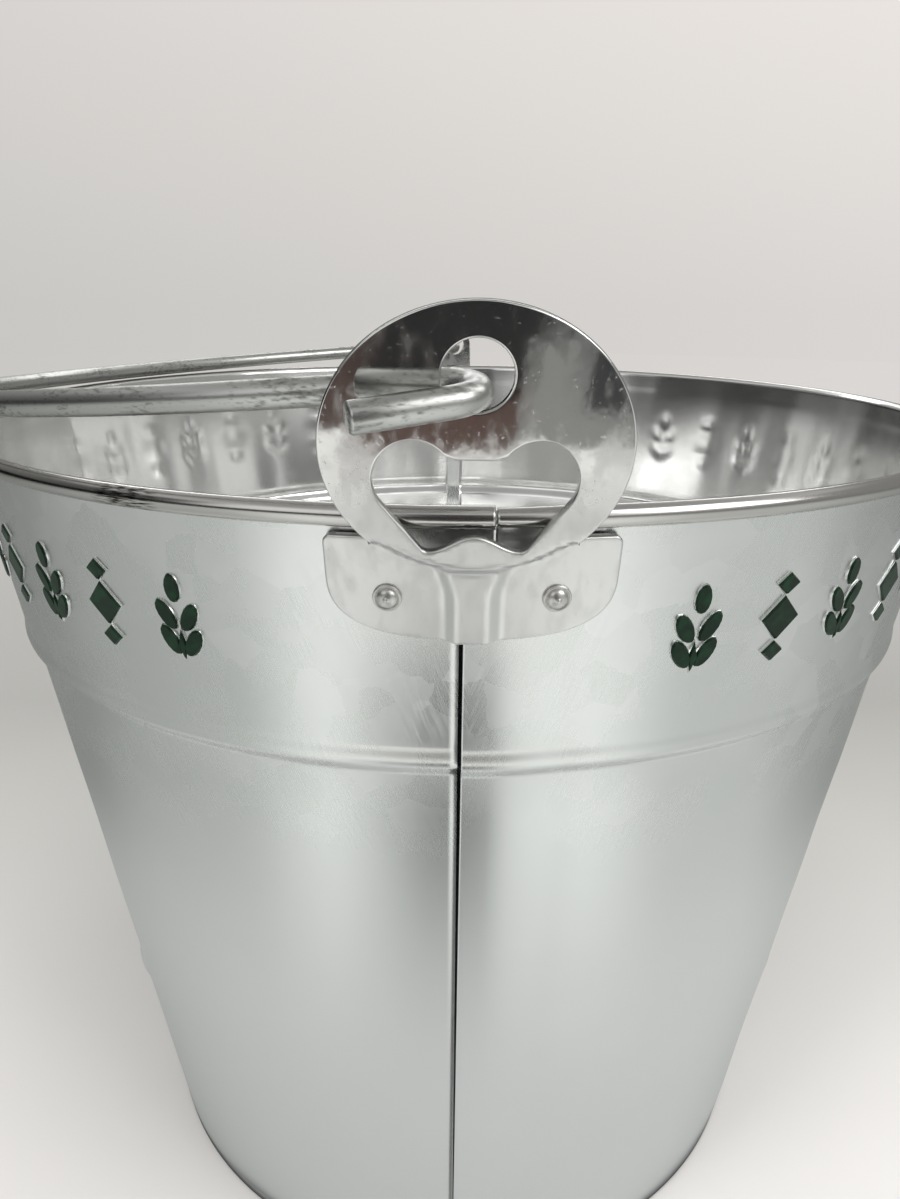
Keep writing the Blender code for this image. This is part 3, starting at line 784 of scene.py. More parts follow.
def stamping(outlines, ears):
    """A flat plate with rounded edges and holes. X is across, Y up, and Z out of the plate."""
    bm = bmesh.new()
    edges = []
    for outline in outlines:
        edges += chain(bm, [(across, up, 0.0) for across, up in outline], closed=True)[1]
    bmesh.ops.triangle_fill(
        bm, use_beauty=True, use_dissolve=False, edges=edges, normal=(0.0, 0.0, 1.0)
    )
    face_up(bm.faces)
    for edge in bm.edges:
        edge.seam = len(edge.link_faces) == 2
    lower = list(bm.faces)
    upper, lifted = raise_copy(bm, lower)
    bmesh.ops.translate(bm, verts=lifted, vec=(0.0, 0.0, ears.plate - 2 * ears.edge_round))
    bmesh.ops.reverse_faces(bm, faces=lower)
    for faces in (upper, lower):
        for step in range(3):
            first, second = math.pi / 6 * step, math.pi / 6 * (step + 1)
            thickness = ears.edge_round * (math.cos(first) - math.cos(second))
            inset(bm, faces, thickness, ears.edge_round * (math.sin(second) - math.sin(first)))
    bmesh.ops.translate(bm, verts=bm.verts, vec=(0.0, 0.0, ears.edge_round))
    cut_grid(bm, ears)
    return bm


def cut_grid(bm, ears):
    """Cuts the part that will be bent into a fine even grid, and clears the fill's diagonals."""
    columns = int(ears.wing_half_width / ears.grid) + 1
    rows = int((ears.wing_bottom_drop + CUT_TOP) / ears.grid) + 1
    upright, level = (1.0, 0.0, 0.0), (0.0, 1.0, 0.0)
    planes = [((0.0, CUT_TOP - step * ears.grid, 0.0), level) for step in range(rows)]
    planes += [((step * ears.grid, 0.0, 0.0), upright) for step in range(-columns, columns + 1)]
    for place, direction in planes:
        low = [f for f in bm.faces if min(vert.co.y for vert in f.verts) < CUT_TOP - MERGE]
        edges = {edge for face in low for edge in face.edges}
        verts = {vert for edge in edges for vert in edge.verts}
        cut = [*verts, *edges, *low]
        bmesh.ops.bisect_plane(bm, geom=cut, dist=MERGE, plane_co=place, plane_no=direction)
    fill = [edge for edge in bm.edges if edge.seam]
    low = [edge for edge in fill if max(vert.co.y for vert in edge.verts) < CUT_TOP + MERGE]
    bmesh.ops.dissolve_edges(bm, edges=low, use_verts=True)


def bend_stamping(bm, form, ears, middle, half_size):
    """Lays the flat stamping on the wall: wings on the sheet, a rib over the seam, and the plate
    lifted off the rolled rim. The plate is the oval about middle."""
    step_top = -ears.wing_top_drop
    for vert in bm.verts:
        across, up, out = vert.co
        centre_up = max(min(up, middle[1]), middle[0])
        offset = Vector((across / half_size[0], (up - centre_up) / half_size[1]))
        inside = (1.0 - offset.length) * min(half_size)
        free = smooth_share(up, step_top - STEP_BLEND, step_top + STEP_BLEND)
        reach = inside + ears.step_width * free
        on_plate = smooth_share(reach, -ears.step_width * 0.2, ears.step_width * 0.8)
        below = smooth_share(-inside, 0.0, FLARE_REACH)
        half = ears.rib_half_width + ears.rib_flare * (1.0 - below) ** 2
        lift = ears.rib_lift * (1.0 - smooth_share(abs(across), half - ears.rib_flank, half))
        wing = form.on_wall(across, up, form.wing_seat + lift + out)
        vert.co = wing.lerp(form.on_plate(across, up, form.plate_seat + out), on_plate)


class BUCKET_OT_ears(bpy.types.Operator):
    """Makes the opener ear and the plain ear, each one stamping"""

    bl_idname = "bucket.ears"
    bl_label = "Ears"

    def execute(self, context):
        form = WallForm()
        ears = context.scene.bucket_ears
        material = bright_plate("bright nickel plate")
        bail_hole = hole_outline(ears.bail_hole, ears.bail_hole_rise)
        opener = [opener_outline(ears), bail_hole, lifter_outline(ears)]
        disc_size = (ears.disc_width / 2, ears.disc_height / 2)
        tab = [tab_outline(ears), hole_outline(ears.tab_hole, ears.tab_hole_rise)]
        tab_size = (ears.tab_width / 2, ears.tab_width / 2)
        for kind, outlines, middle, half_size, turn in (
            ("opener", opener, (ears.disc_rise, ears.disc_rise), disc_size, 0.0),
            ("plain", tab, (ears.tab_foot_rise, ears.tab_hole_rise), tab_size, math.pi),
        ):
            bm = stamping(outlines, ears)
            bend_stamping(bm, form, ears, middle, half_size)
            rotate(bm, bm.verts, turn)
            node = (kind + "_ear",)
            piece = finish_piece(bm, kind + "_plate", "bucket", [material], node)
            shading = piece.modifiers.new("Even shading", "WEIGHTED_NORMAL")
            shading.keep_sharp = True
            shading.weight = 80
        return {"FINISHED"}


# The rivets

# The ring round a rivet's dome: its radius, its middle over the ear and its foot over the ear
RING_RADIUS, RING_RISE, RING_FOOT = 0.00022, 0.00020, 0.00018

# Where the dome starts over the ear, and how wide it is as a share of the head
DOME_RISE, DOME_SHARE = 0.0001, 0.76

# (radius, height over the dome) of the nib that the setting tool leaves
NIB = ((0.00038, 0.0), (0.00030, 0.00010), (0.00012, 0.00014), (0.0, 0.00014))


def rivet_points(form, ears):
    """(radius, height) of a rivet: a burr inside, a ring and a low dome with a nib outside."""
    shank, head, burr = ears.shank / 2, ears.head / 2, ears.burr / 2
    inner = -form.sizes.sheet / 2 - form.sizes.fit
    outer = form.wing_seat + ears.plate + form.sizes.fit * 0.2
    dome, dome_height = head * DOME_SHARE, ears.head_rise - DOME_RISE
    points = [(0.0, inner - ears.burr_rise), (burr * 0.55, inner - ears.burr_rise)]
    points += arc(burr * 0.62, inner, burr * 0.38, -math.pi / 2, 0.0, 5)
    points += [(shank, inner), (shank, outer), (head, outer), (head, outer + RING_FOOT)]
    points += arc(head - RING_RADIUS, outer + RING_RISE, RING_RADIUS, 0.0, math.pi, 6)[1:]
    for turn in steps(0.0, math.pi / 2, 10, 8):
        points.append((dome * math.cos(turn), outer + DOME_RISE + dome_height * math.sin(turn)))
    return points + [(radius, outer + ears.head_rise + rise) for radius, rise in NIB]


class BUCKET_OT_rivets(bpy.types.Operator):
    """Makes the four rivets that hold the ears"""

    bl_idname = "bucket.rivets"
    bl_label = "Rivets"

    def execute(self, context):
        form = WallForm()
        ears = context.scene.bucket_ears
        material = rivet_steel("rivet steel")
        for end, hand, azimuth, side in (
            ("front", "right", 0.0, 1),
            ("front", "left", 0.0, -1),
            ("rear", "left", math.pi, 1),
            ("rear", "right", math.pi, -1),
        ):
            bm = lathe(rivet_points(form, ears), 40)
            place = form.frame(azimuth, side * ears.rivet_span / 2, -ears.rivet_drop)
            bmesh.ops.transform(bm, matrix=place, verts=bm.verts)
            name, node = f"rivet_{end}_{hand}", f"{end}_rivet_{hand}"
            finish_piece(bm, name, "bucket", [material], (node,))
        return {"FINISHED"}


# The bail

# Where on a hook's straight end one more ring of the wire lies
HOOK_MIDDLE = 0.006


def bail_drop(form, bail, half_span, half_fall, arch_height):
    """Angle below the pivots' plane at which the lowered bail meets the rolled rim."""
    contact = form.rim_height + (form.sizes.curl_diameter + bail.wire) / 2 + form.sizes.fit
    room = arch_height - contact
    tilt = half_fall * (half_span - bail.bend) / half_span
    square = bail.reach**2 - bail.bend**2
    across = room * bail.bend
    return math.asin((math.sqrt(across**2 + square * (room**2 - tilt**2)) - across) / square)


def bail_path(form, ears, bail):
    """Points of the middle of the wire, from the front hook's cut end to the rear one's."""
    pivot_rise = ears.bail_hole_rise - ears.bail_hole / 2 + bail.wire / 2 + bail.play
    tab_rise = ears.tab_hole_rise - ears.tab_hole / 2 + bail.wire / 2 + bail.play
    front = form.on_plate(0.0, pivot_rise, form.plate_middle)
    rear = form.on_plate(0.0, tab_rise, form.plate_middle)
    rear.y = -rear.y
    axis = rear - front
    span = axis.length
    axis.normalize()
    twist_up, twist_in = math.sin(bail.hook_twist), math.cos(bail.hook_twist)
    lift = bail.bend * twist_up
    fall, height = (front.z - rear.z) / 2, (front.z + rear.z) / 2 + lift
    drop = bail_drop(form, bail, span / 2, fall, height)
    sideways = Matrix.Rotation(-drop, 3, axis) @ Vector((-1.0, 0.0, 0.0))
    upwards = axis.cross(sideways)
    turns = [(math.pi - bail.hook_spread) * (1.0 - step / 24) for step in range(25)]
    bends = [(bail.bend * math.cos(turn), bail.bend * (1.0 - math.sin(turn))) for turn in turns]
    back, out = -math.sin(bail.hook_spread), math.cos(bail.hook_spread)
    end = bail.hook_length
    straight = [
        (bends[0][0] + distance * back, bends[0][1] + distance * out)
        for distance in (end, end - bail.cut_round / 3, end - bail.cut_round, HOOK_MIDDLE)
    ]
    hook = [(along * twist_in, across, along * twist_up) for along, across in straight + bends]
    half_oval = span / 2 - bail.bend * twist_in
    arch = [
        (span / 2 - half_oval * math.cos(turn), bail.bend + bail.reach * math.sin(turn), lift)
        for turn in steps(0.0, math.pi, 120, 119)
    ]
    far_hook = [(span - along, across, up) for along, across, up in reversed(hook)]
    return [front + axis * a + sideways * b + upwards * c for a, b, c in hook + arch + far_hook]


class BUCKET_OT_bail(bpy.types.Operator):
    """Makes the bail, one wire with a hook at each end"""

    bl_idname = "bucket.bail"
    bl_label = "Bail"

    def execute(self, context):
        bail = context.scene.bucket_bail
        path = bail_path(WallForm(), context.scene.bucket_ears, bail)
        bm = bmesh.new()
        rings = []
        radius = bail.wire / 2
        rounded = {0: radius - bail.cut_round, 1: radius - bail.cut_round * 0.42}
        last = len(path) - 1
        side = Vector((0.0, 0.0, 1.0))
        for place, point in enumerate(path):
            ahead = path[min(place + 1, last)] - path[max(place - 1, 0)]
            ahead.normalize()
            side = (side - ahead * side.dot(ahead)).normalized()
            from_end = min(place, last - place)
            turned = Matrix((side, ahead.cross(side), ahead)).transposed().to_4x4()
            ring = bmesh.ops.create_circle(
                bm,
                cap_ends=from_end == 0,
                segments=28,
                radius=rounded.get(from_end, radius),
                matrix=Matrix.Translation(point) @ turned,
            )
            rings.append([edge for vert in ring["verts"] for edge in vert.link_edges])
        for first, second in zip(rings, rings[1:]):
            bmesh.ops.bridge_loops(bm, edges=list({*first, *second}))
        materials = [zinc_wire("zinc coated wire")]
        finish_piece(bm, "bail_wire", "bail", materials, ("bail",))
        return {"FINISHED"}


# The ornaments


def motif_shapes(kind, wide, tall):
    """(corners, half width, half height, turn, middle) of each shape in a sprig (kind 0) or in a
    group of lozenges (kind 1), all as shares of the motif's size."""
    if kind == 0:
        shapes = [(14, 0.20 * wide, 0.17 * tall, 0.0, (0.0, 0.36 * tall))]
        for rise in (-0.26, 0.04):
            for side in (-1, 1):
                place = (side * 0.29 * wide, rise * tall)
                turn = -side * math.radians(32)
                shapes.append((14, 0.20 * wide, 0.195 * tall, turn, place))
        return shapes + [(4, 0.13 * wide, 0.20 * tall, 0.0, (0.0, -0.30 * tall))]
    shapes = [(4, 0.54 * wide, 0.27 * tall, 0.0, (0.0, 0.0))]
    for side in (-1, 1):
        shapes.append((4, 0.33 * wide, 0.135 * tall, 0.0, (0.0, side * 0.40 * tall)))
    return shapes


def add_shape(bm, corners, half_wide, half_tall, turn, middle, relief, flank):
    """A raised shape with sloping flanks, flat on X and Y. The top face gets the enamel."""
    place = Matrix.Translation((*middle, 0.0)) @ Matrix.Rotation(turn, 4, "Z")
    place = place @ Matrix.Diagonal((half_wide, half_tall, 1.0, 1.0))
    if corners == 4:
        place = place @ Matrix.Rotation(math.pi / 2, 4, "Z")
    made = bmesh.ops.create_circle(bm, cap_ends=True, segments=corners, radius=1.0, matrix=place)
    face = made["verts"][0].link_faces[0]
    face_up([face])
    top, verts = raise_copy(bm, [face])
    bmesh.ops.translate(bm, verts=verts, vec=(0.0, 0.0, relief * 0.15))
    for part, (inset_share, depth_share) in enumerate(((0.30, 0.30), (0.70, 0.55))):
        for side in inset(bm, top, flank * inset_share, relief * depth_share):
            side.material_index = part
    top[0].material_index = 1


class BUCKET_OT_ornaments(bpy.types.Operator):
    """Makes the row of raised motifs under the rim, sprigs and lozenges by turns"""

    bl_idname = "bucket.ornaments"
    bl_label = "Ornaments"

    def execute(self, context):
        form = WallForm()
        row = context.scene.bucket_ornaments
        materials = (galvanised_sheet("galvanised sheet, flanks"), green_enamel("green enamel"))
        rise = (row.middle - form.rim_height) / math.cos(form.flare)
        for name, turn in (("right_motifs", 0.0), ("left_motifs", math.pi)):
            bm = bmesh.new()
            for index in range(row.count):
                along = row.clear + index * row.pitch
                before = set(bm.verts)
                for shape in motif_shapes(index % 2, row.wide, row.tall):
                    add_shape(bm, *shape, row.relief, row.flank)
                for vert in set(bm.verts) - before:
                    across, up, out = vert.co
                    out += form.sizes.sheet * 0.35
                    vert.co = form.on_wall(along + across, rise + up, out)
            rotate(bm, bm.verts, turn)
            piece = finish_piece(bm, name, "bucket", materials)
            piece.data.set_sharp_from_angle(angle=math.radians(30))
        return {"FINISHED"}


# Finishes


def plug(tree, node, inputs):
    """Sets a node's inputs, each to a value or to another node's output."""
    for socket, value in inputs.items():
        if isinstance(value, bpy.types.NodeSocket):
            tree.links.new(value, node.inputs[socket])
        else:
            node.inputs[socket].default_value = value


def add(tree, kind, settings, inputs):
    """Adds a node with its own settings and its inputs."""
    node = tree.nodes.new("ShaderNode" + kind)
    for field, value in settings.items():
        setattr(node, field, value)
    plug(tree, node, inputs)
    return node


def calc(tree, operation, *values):
    """A number worked out from values or other nodes' outputs."""
    return add(tree, "Math", {"operation": operation}, dict(enumerate(values))).outputs[0]


def product(tree, *factors):
    result = factors[0]
    for factor in factors[1:]:
        result = calc(tree, "MULTIPLY", result, factor)
    return result


def calc_vector(tree, operation, *values):
    """A vector, or its length, worked out from values or other nodes' outputs."""
    node = add(tree, "VectorMath", {"operation": operation}, dict(enumerate(values)))
    return node.outputs["Value" if operation == "LENGTH" else "Vector"]


def run(tree, value, start, end, low=0.0, high=1.0, smooth=False):
    """Runs from low to high while the value runs from start to end."""
    settings = {"interpolation_type": "SMOOTHSTEP" if smooth else "LINEAR"}
    inputs = {"Value": value, "From Min": start, "From Max": end, "To Min": low, "To Max": high}
    return add(tree, "MapRange", settings, inputs).outputs[0]


def mix(tree, factor, first, second, blend="MIX"):
    """A colour mixed from two."""
    settings = {"data_type": "RGBA", "blend_type": blend}
    inputs = {"Factor": factor, "A": first, "B": second}
    return add(tree, "Mix", settings, inputs).outputs["Result"]


def clouds(tree, place, scale, detail):
    """Noise from 0 to 1, with about as many clouds to the metre as the scale says."""
    inputs = {"Vector": place, "Scale": scale, "Detail": detail}
    return add(tree, "TexNoise", {}, inputs).outputs["Fac"]


def strokes(tree, turn, radius, height, size, lean, detail):
    """Noise drawn out into strokes, with a width and a height and leaning, on a wall laid flat."""
    flat = add(tree, "CombineXYZ", {}, {0: calc(tree, "MULTIPLY", turn, radius), 1: height})
    inputs = {"Vector": flat.outputs[0], "Rotation": (0.0, 0.0, lean), "Scale": (*size, 1.0)}
    laid = add(tree, "Mapping", {"vector_type": "TEXTURE"}, inputs).outputs[0]
    return clouds(tree, laid, 1.0, detail)


def bump(tree, height, strength, distance, **more):
    """Dents in the shading only, at most a distance deep."""
    inputs = {"Height": height, "Strength": strength, "Distance": distance, **more}
    return add(tree, "Bump", {}, inputs).outputs[0]


def split(tree, place):
    """X, Y and Z of a place."""
    return tuple(add(tree, "SeparateXYZ", {}, {0: place}).outputs)


def round_place(tree, place):
    """Turns a place into its angle round the bucket from the opener ear, and its height."""
    x, y, z = split(tree, place)
    return calc(tree, "ARCTAN2", x, calc(tree, "MULTIPLY", y, -1.0)), z


def new_material(name):
    """A material whose shader node takes the finish, and the coordinates its patterns follow."""
    material = bpy.data.materials.new(name)
    material.use_nodes = True
    tree = material.node_tree
    place = add(tree, "TexCoord", {}, {}).outputs["Object"]
    return material, tree, tree.nodes["Principled BSDF"], place


def painted_seam_shade(tree, place):
    """The painted shade in the two seams' grooves, where shadow falls: 1 in the groove, 0 beside.
    It is 0.15 mm wide near the foot and 0.55 mm near the rim."""
    form = WallForm()
    x, y, z = split(tree, place)
    across = calc(tree, "MULTIPLY", x, calc(tree, "SIGN", y))
    past_edge = calc(tree, "SUBTRACT", across, -form.sizes.seam_edge)
    width = run(tree, z, 0.02, 0.15, 0.00015, 0.00055)
    narrow = calc(tree, "LESS_THAN", past_edge, width)
    beside = calc(tree, "GREATER_THAN", past_edge, -0.00005)
    return product(tree, narrow, beside, calc(tree, "LESS_THAN", z, form.seam_head))


def painted_rim_reflection(tree, place, radius):
    """A painted dark reflection 12 mm long on the outer part of the rolled rim, left of the opener
    ear, broken into streaks: 1 in its streaks, which are 2.6 mm long and 0.24 mm wide."""
    rim = WallForm().rim_radius
    turn, height = round_place(tree, place)
    away = calc(tree, "ABSOLUTE", calc(tree, "SUBTRACT", turn, math.radians(-26.4)))
    near = run(tree, away, 0.035, 0.058, 1.0, 0.0)
    outer = run(tree, radius, rim + 0.0002, rim + 0.0009)
    streaks = strokes(tree, turn, rim, height, (0.0026, 0.00024), 0.0, 3.0)
    return product(tree, near, outer, run(tree, streaks, 0.44, 0.60))


def rolled_sheet(name):
    """The sheet's inner face: clean zinc whose reflections sway in the upright waves that the rolls
    leave, about 16 mm from one to the next. It also covers the rolled rim, which is even and
    painted a little browner and darker than the inside as painted shade, with a painted dark
    reflection in one place."""
    material, tree, shader, place = new_material(name)
    colours = bpy.context.scene.bucket_colours
    wall_top = WallForm().top_radius
    radius = calc_vector(tree, "LENGTH", calc_vector(tree, "MULTIPLY", place, (1.0, 1.0, 0.0)))
    on_rim = run(tree, radius, wall_top, wall_top + 0.0005)
    upright = calc_vector(tree, "MULTIPLY", place, (62.0, 62.0, 6.0))
    waves = clouds(tree, upright, 1.0, 0.6)
    # Painted shade on the rolled rim, and a painted dark reflection streaked on it left of the
    # opener ear
    tint = mix(tree, on_rim, colours.zinc_inside, colours.zinc_rim_painted_shade)
    finish = {
        "Base Color": mix(tree, painted_rim_reflection(tree, place, radius), tint, linear("#35322f")),
        "Normal": bump(tree, waves, calc(tree, "SUBTRACT", 1.0, on_rim), 0.0014),
        "Roughness": 0.20,
        "Metallic": 1.0,
    }
    plug(tree, shader, finish)
    return material


def galvanised_sheet(name, seams=False):
    """Hot-dip galvanised steel sheet: a soft metallic sheen, broken in places into faint feathery
    grains about 7 mm across, with fine slanting scratches from handling. Both are clear on the
    upper band and faint below it."""
    material, tree, shader, place = new_material(name)
    colours = bpy.context.scene.bucket_colours
    form = WallForm()
    turn, height = round_place(tree, place)
    patch = run(tree, clouds(tree, place, 30.0, 3.0), 0.40, 0.66, 0.12)
    shown = product(tree, patch, run(tree, height, 0.115, 0.155, 0.10, 1.0, smooth=True))

    # Grains: angular cells, 140 to the metre, whose edges wander by 2 mm
    feather = add(tree, "TexNoise", {}, {"Vector": place, "Scale": 300.0, "Detail": 2.0})
    wander = (0.0022, 0.0022, 0.0022)
    shifted = calc_vector(tree, "MULTIPLY_ADD", feather.outputs["Color"], wander, place)
    cells = add(tree, "TexVoronoi", {}, {"Vector": shifted, "Scale": 140.0}).outputs["Color"]
    grain = add(tree, "SeparateColor", {}, {0: cells}).outputs[0]
    bright = product(tree, grain, shown)

    # Scratches: strokes 0.3 mm wide and 9 mm long, leaning away from the front seam on both sides
    # and ending under the rolled rim
    aside = calc(tree, "ABSOLUTE", turn)
    marks = strokes(tree, aside, 0.1, height, (0.0003, 0.009), math.radians(-17), 2.0)
    curl_foot = form.rim_height - form.curl_radius
    below_curl = run(tree, height, curl_foot - 0.0015, curl_foot - 0.0005, 1.0, 0.0)
    scratched = product(tree, run(tree, marks, 0.45, 0.70), product(tree, shown, below_curl))

    tint = mix(tree, bright, colours.zinc_dark, colours.zinc_light)
    # Painted shade: a dark line along each seam's groove
    if seams:
        tint = mix(tree, painted_seam_shade(tree, place), tint, linear("#1c1d20"))
    gloss = run(tree, bright, 0.0, 1.0, 0.26, 0.31)
    finish = {
        "Base Color": tint,
        "Roughness": calc(tree, "MULTIPLY_ADD", scratched, 0.08, gloss),
        "Normal": bump(tree, scratched, 0.10, 0.00003),
        "Metallic": 1.0,
    }
    plug(tree, shader, finish)
    return material


def zinc_wire(name):
    """Zinc coated drawn wire: a dull metallic skin with dark flecks where the coat is thin."""
    material, tree, shader, place = new_material(name)
    colours = bpy.context.scene.bucket_colours
    along = calc_vector(tree, "MULTIPLY", place, (0.3, 0.3, 1.0))
    specks, patches = clouds(tree, along, 2600.0, 4.0), clouds(tree, along, 330.0, 3.0)
    skin = calc(tree, "MULTIPLY_ADD", patches, 0.8, specks)
    fleck = run(tree, skin, 0.94, 1.18)
    dents = bump(tree, skin, 0.2, 0.00003)
    dents.node.invert = True
    finish = {
        "Base Color": mix(tree, fleck, colours.wire_light, colours.wire_dark),
        "Roughness": run(tree, fleck, 0.0, 1.0, 0.33, 0.45),
        "Normal": dents,
        "Metallic": 1.0,
    }
    plug(tree, shader, finish)
    return material


def bright_plate(name):
    """Bright nickel plate: a mirror on the disc, which the press polished, and satin on the wings
    and towards the disc's foot, with tiny specks and rubbed marks."""
    material, tree, shader, place = new_material(name)
    height = split(tree, place)[2]
    wander = calc(tree, "MULTIPLY_ADD", clouds(tree, place, 90.0, 4.0), 0.012, height)
    polish = run(tree, wander, 0.193, 0.206, 0.33, 0.06, smooth=True)
    speck = run(tree, clouds(tree, place, 1700.0, 3.0), 0.62, 0.90)
    upright = calc_vector(tree, "MULTIPLY", place, (1.0, 1.0, 0.5))
    haze = run(tree, clouds(tree, upright, 420.0, 6.0), 0.46, 0.78, 0.0, 0.18)
    broad = bump(tree, clouds(tree, place, 130.0, 3.0), 0.3, 0.00010)
    finish = {
        "Base Color": bpy.context.scene.bucket_colours.nickel,
        "Roughness": calc(tree, "MULTIPLY_ADD", speck, 0.35, calc(tree, "ADD", haze, polish)),
        "Normal": bump(tree, clouds(tree, place, 420.0, 2.0), 0.15, 0.00003, Normal=broad),
        "Metallic": 1.0,
    }
    plug(tree, shader, finish)
    return material


def rivet_steel(name):
    """Bright steel rivets, their heads a little scuffed by the setting tool."""
    material, tree, shader, place = new_material(name)
    scuffs = clouds(tree, place, 900.0, 3.0)
    finish = {
        "Base Color": bpy.context.scene.bucket_colours.rivet,
        "Roughness": run(tree, scuffs, 0.0, 1.0, 0.25, 0.45),
        "Normal": bump(tree, scuffs, 0.2, 0.00005),
        "Metallic": 1.0,
    }
    plug(tree, shader, finish)
    return material


def green_enamel(name):
    """Dark green stoving enamel rolled on the raised faces: glossy, and thinner in places."""
    material, tree, shader, place = new_material(name)
    colours = bpy.context.scene.bucket_colours
    coat = clouds(tree, place, 420.0, 4.0)
    finish = {
        "Base Color": mix(tree, run(tree, coat, 0.45, 0.75), colours.enamel, colours.enamel_worn),
        "Normal": bump(tree, coat, 0.3, 0.0001),
        "Roughness": 0.34,
        "Specular IOR Level": 0.25,
    }
    plug(tree, shader, finish)
    return material


# The studio. The camera sees a pale floor and background with painted shade. What the metal shows
# is painted with its own light and shade apart.

# Angle round the bucket in degrees, and the floor's shade there as the metal shows it: painted
# shadow in soft dark lanes where the stand and the camera shade the floor, and painted light in
# bright ones under the lamps
LANES = (
    (-100, "#8c8e8c"),
    (-78, "#a4a6a4"),
    (-62, "#a6a8a6"),
    (-44, "#aeb0ae"),
    (-26, "#f2f4f2"),
    (-15, "#b0b2b0"),
    (-6, "#404240"),
    (3, "#4a4c4a"),
    (14, "#dcdedc"),
    (26, "#f2f4f2"),
    (44, "#babcba"),
    (70, "#bec0be"),
    (88, "#a2a4a2"),
    (110, "#949694"),
)

# How far from the bucket's axis in decimetres, and the floor's shade there as the metal shows it: a
# painted contact shadow, dark at the foot
CONTACT = ((0.0, "#2a2a2a"), (0.832, "#2a2a2a"), (0.850, "#d0d1d1"), (1.0, "#d0d1d1"))

# The same in metres, for the floor that lies in front of the ear: painted shade, darker far off
BEYOND = ((0.0, "#ececea"), (0.56, "#ececea"), (0.66, "#8a8b8a"), (1.0, "#8a8b8a"))

# How far back in metres, and the floor's shade there as the camera sees it: painted shade, darker
# behind the bucket and far in front of it
FLOOR_DEPTHS = (
    (-0.70, "#a6a4a1"),
    (-0.40, "#bebcb9"),
    (-0.22, "#dad7d4"),
    (-0.10, "#eeebe9"),
    (-0.02, "#ebe8e5"),
    (0.08, "#d6d5d1"),
    (0.22, "#bcbbb7"),
    (0.40, "#bcbbb7"),
)

# Sine of the elevation, and the surroundings' shade there: dim at eye level and pale overhead
CEILING = (
    (0.0, "#2e2c2b"),
    (0.165, "#2e2c2b"),
    (0.205, "#f4f4f2"),
    (0.58, "#ffffff"),
    (0.75, "#b8b8b6"),
    (1.0, "#949492"),
)

# Angle round the bucket in degrees, and how bright the surroundings are there up to mid height:
# pale windows with darker walls between them
WINDOWS = (
    (-180, "#a4a4a2"),
    (-90, "#5c5c5b"),
    (-62, "#4c4c4b"),
    (-50, "#ffffff"),
    (-20, "#ffffff"),
    (-12, "#4e4e4d"),
    (-2, "#60605f"),
    (12, "#e2e2e0"),
    (38, "#ffffff"),
    (56, "#bcbcba"),
    (74, "#8a8a88"),
    (98, "#6c6c6b"),
    (148, "#7a7a79"),
    (180, "#a4a4a2"),
)

# Glowing cards that the mirror disc and the walls show, painted dark reflections of the camera and
# the one holding it: name, colour, lower left and upper right corner
CARDS = (
    ("black card", "#161617", (-0.042, -0.47, 0.055), (0.040, -0.47, 0.130)),
    ("black card, top", "#1f1f20", (0.040, -0.47, 0.088), (0.068, -0.47, 0.130)),
    ("dark card, left", "#40332f", (-0.080, -0.47, 0.058), (-0.042, -0.47, 0.112)),
    ("brown card", "#543f39", (-0.056, -0.465, 0.016), (0.036, -0.465, 0.058)),
    ("brown card, left", "#4c3b36", (-0.092, -0.465, 0.036), (-0.056, -0.465, 0.080)),
    ("dark card, right", "#2c2d2e", (0.073, -0.47, 0.045), (0.106, -0.47, 0.088)),
    ("grey card", "#8a8b88", (0.030, -0.48, 0.014), (0.130, -0.48, 0.105)),
    ("dark wall", "#1f1e1e", (-0.12, -0.60, 0.10), (0.10, -0.60, 0.55)),
)


def shades(tree, fraction, stops):
    """A colour that runs through the stops, given as (fraction, hex colour)."""
    ramp = add(tree, "ValToRGB", {}, {0: fraction})
    elements = ramp.color_ramp.elements
    while len(elements) < len(stops):
        elements.new(1.0)
    for element, (place, shade) in zip(elements, stops):
        element.position = place
        element.color = linear(shade)
    return ramp.outputs["Color"]


def shades_round(tree, turn, stops):
    """The same from an angle round the bucket, with stops given as (degrees, hex colour)."""
    fraction = run(tree, turn, -math.pi, math.pi)
    return shades(tree, fraction, [((degrees + 180) / 360, shade) for degrees, shade in stops])


def backdrop_colour(tree, direction):
    """The plain background's colour, with painted shade: a little darker on the left and lower
    down.
    """
    studio = bpy.context.scene.bucket_studio
    x, _, z = split(tree, direction)
    across = run(tree, x, -0.45, 0.45)
    low = mix(tree, across, studio.backdrop_left, studio.backdrop_right)
    high = mix(tree, across, studio.backdrop_top_left, studio.backdrop_top_right)
    return mix(tree, run(tree, z, -0.02, 0.24), low, high)


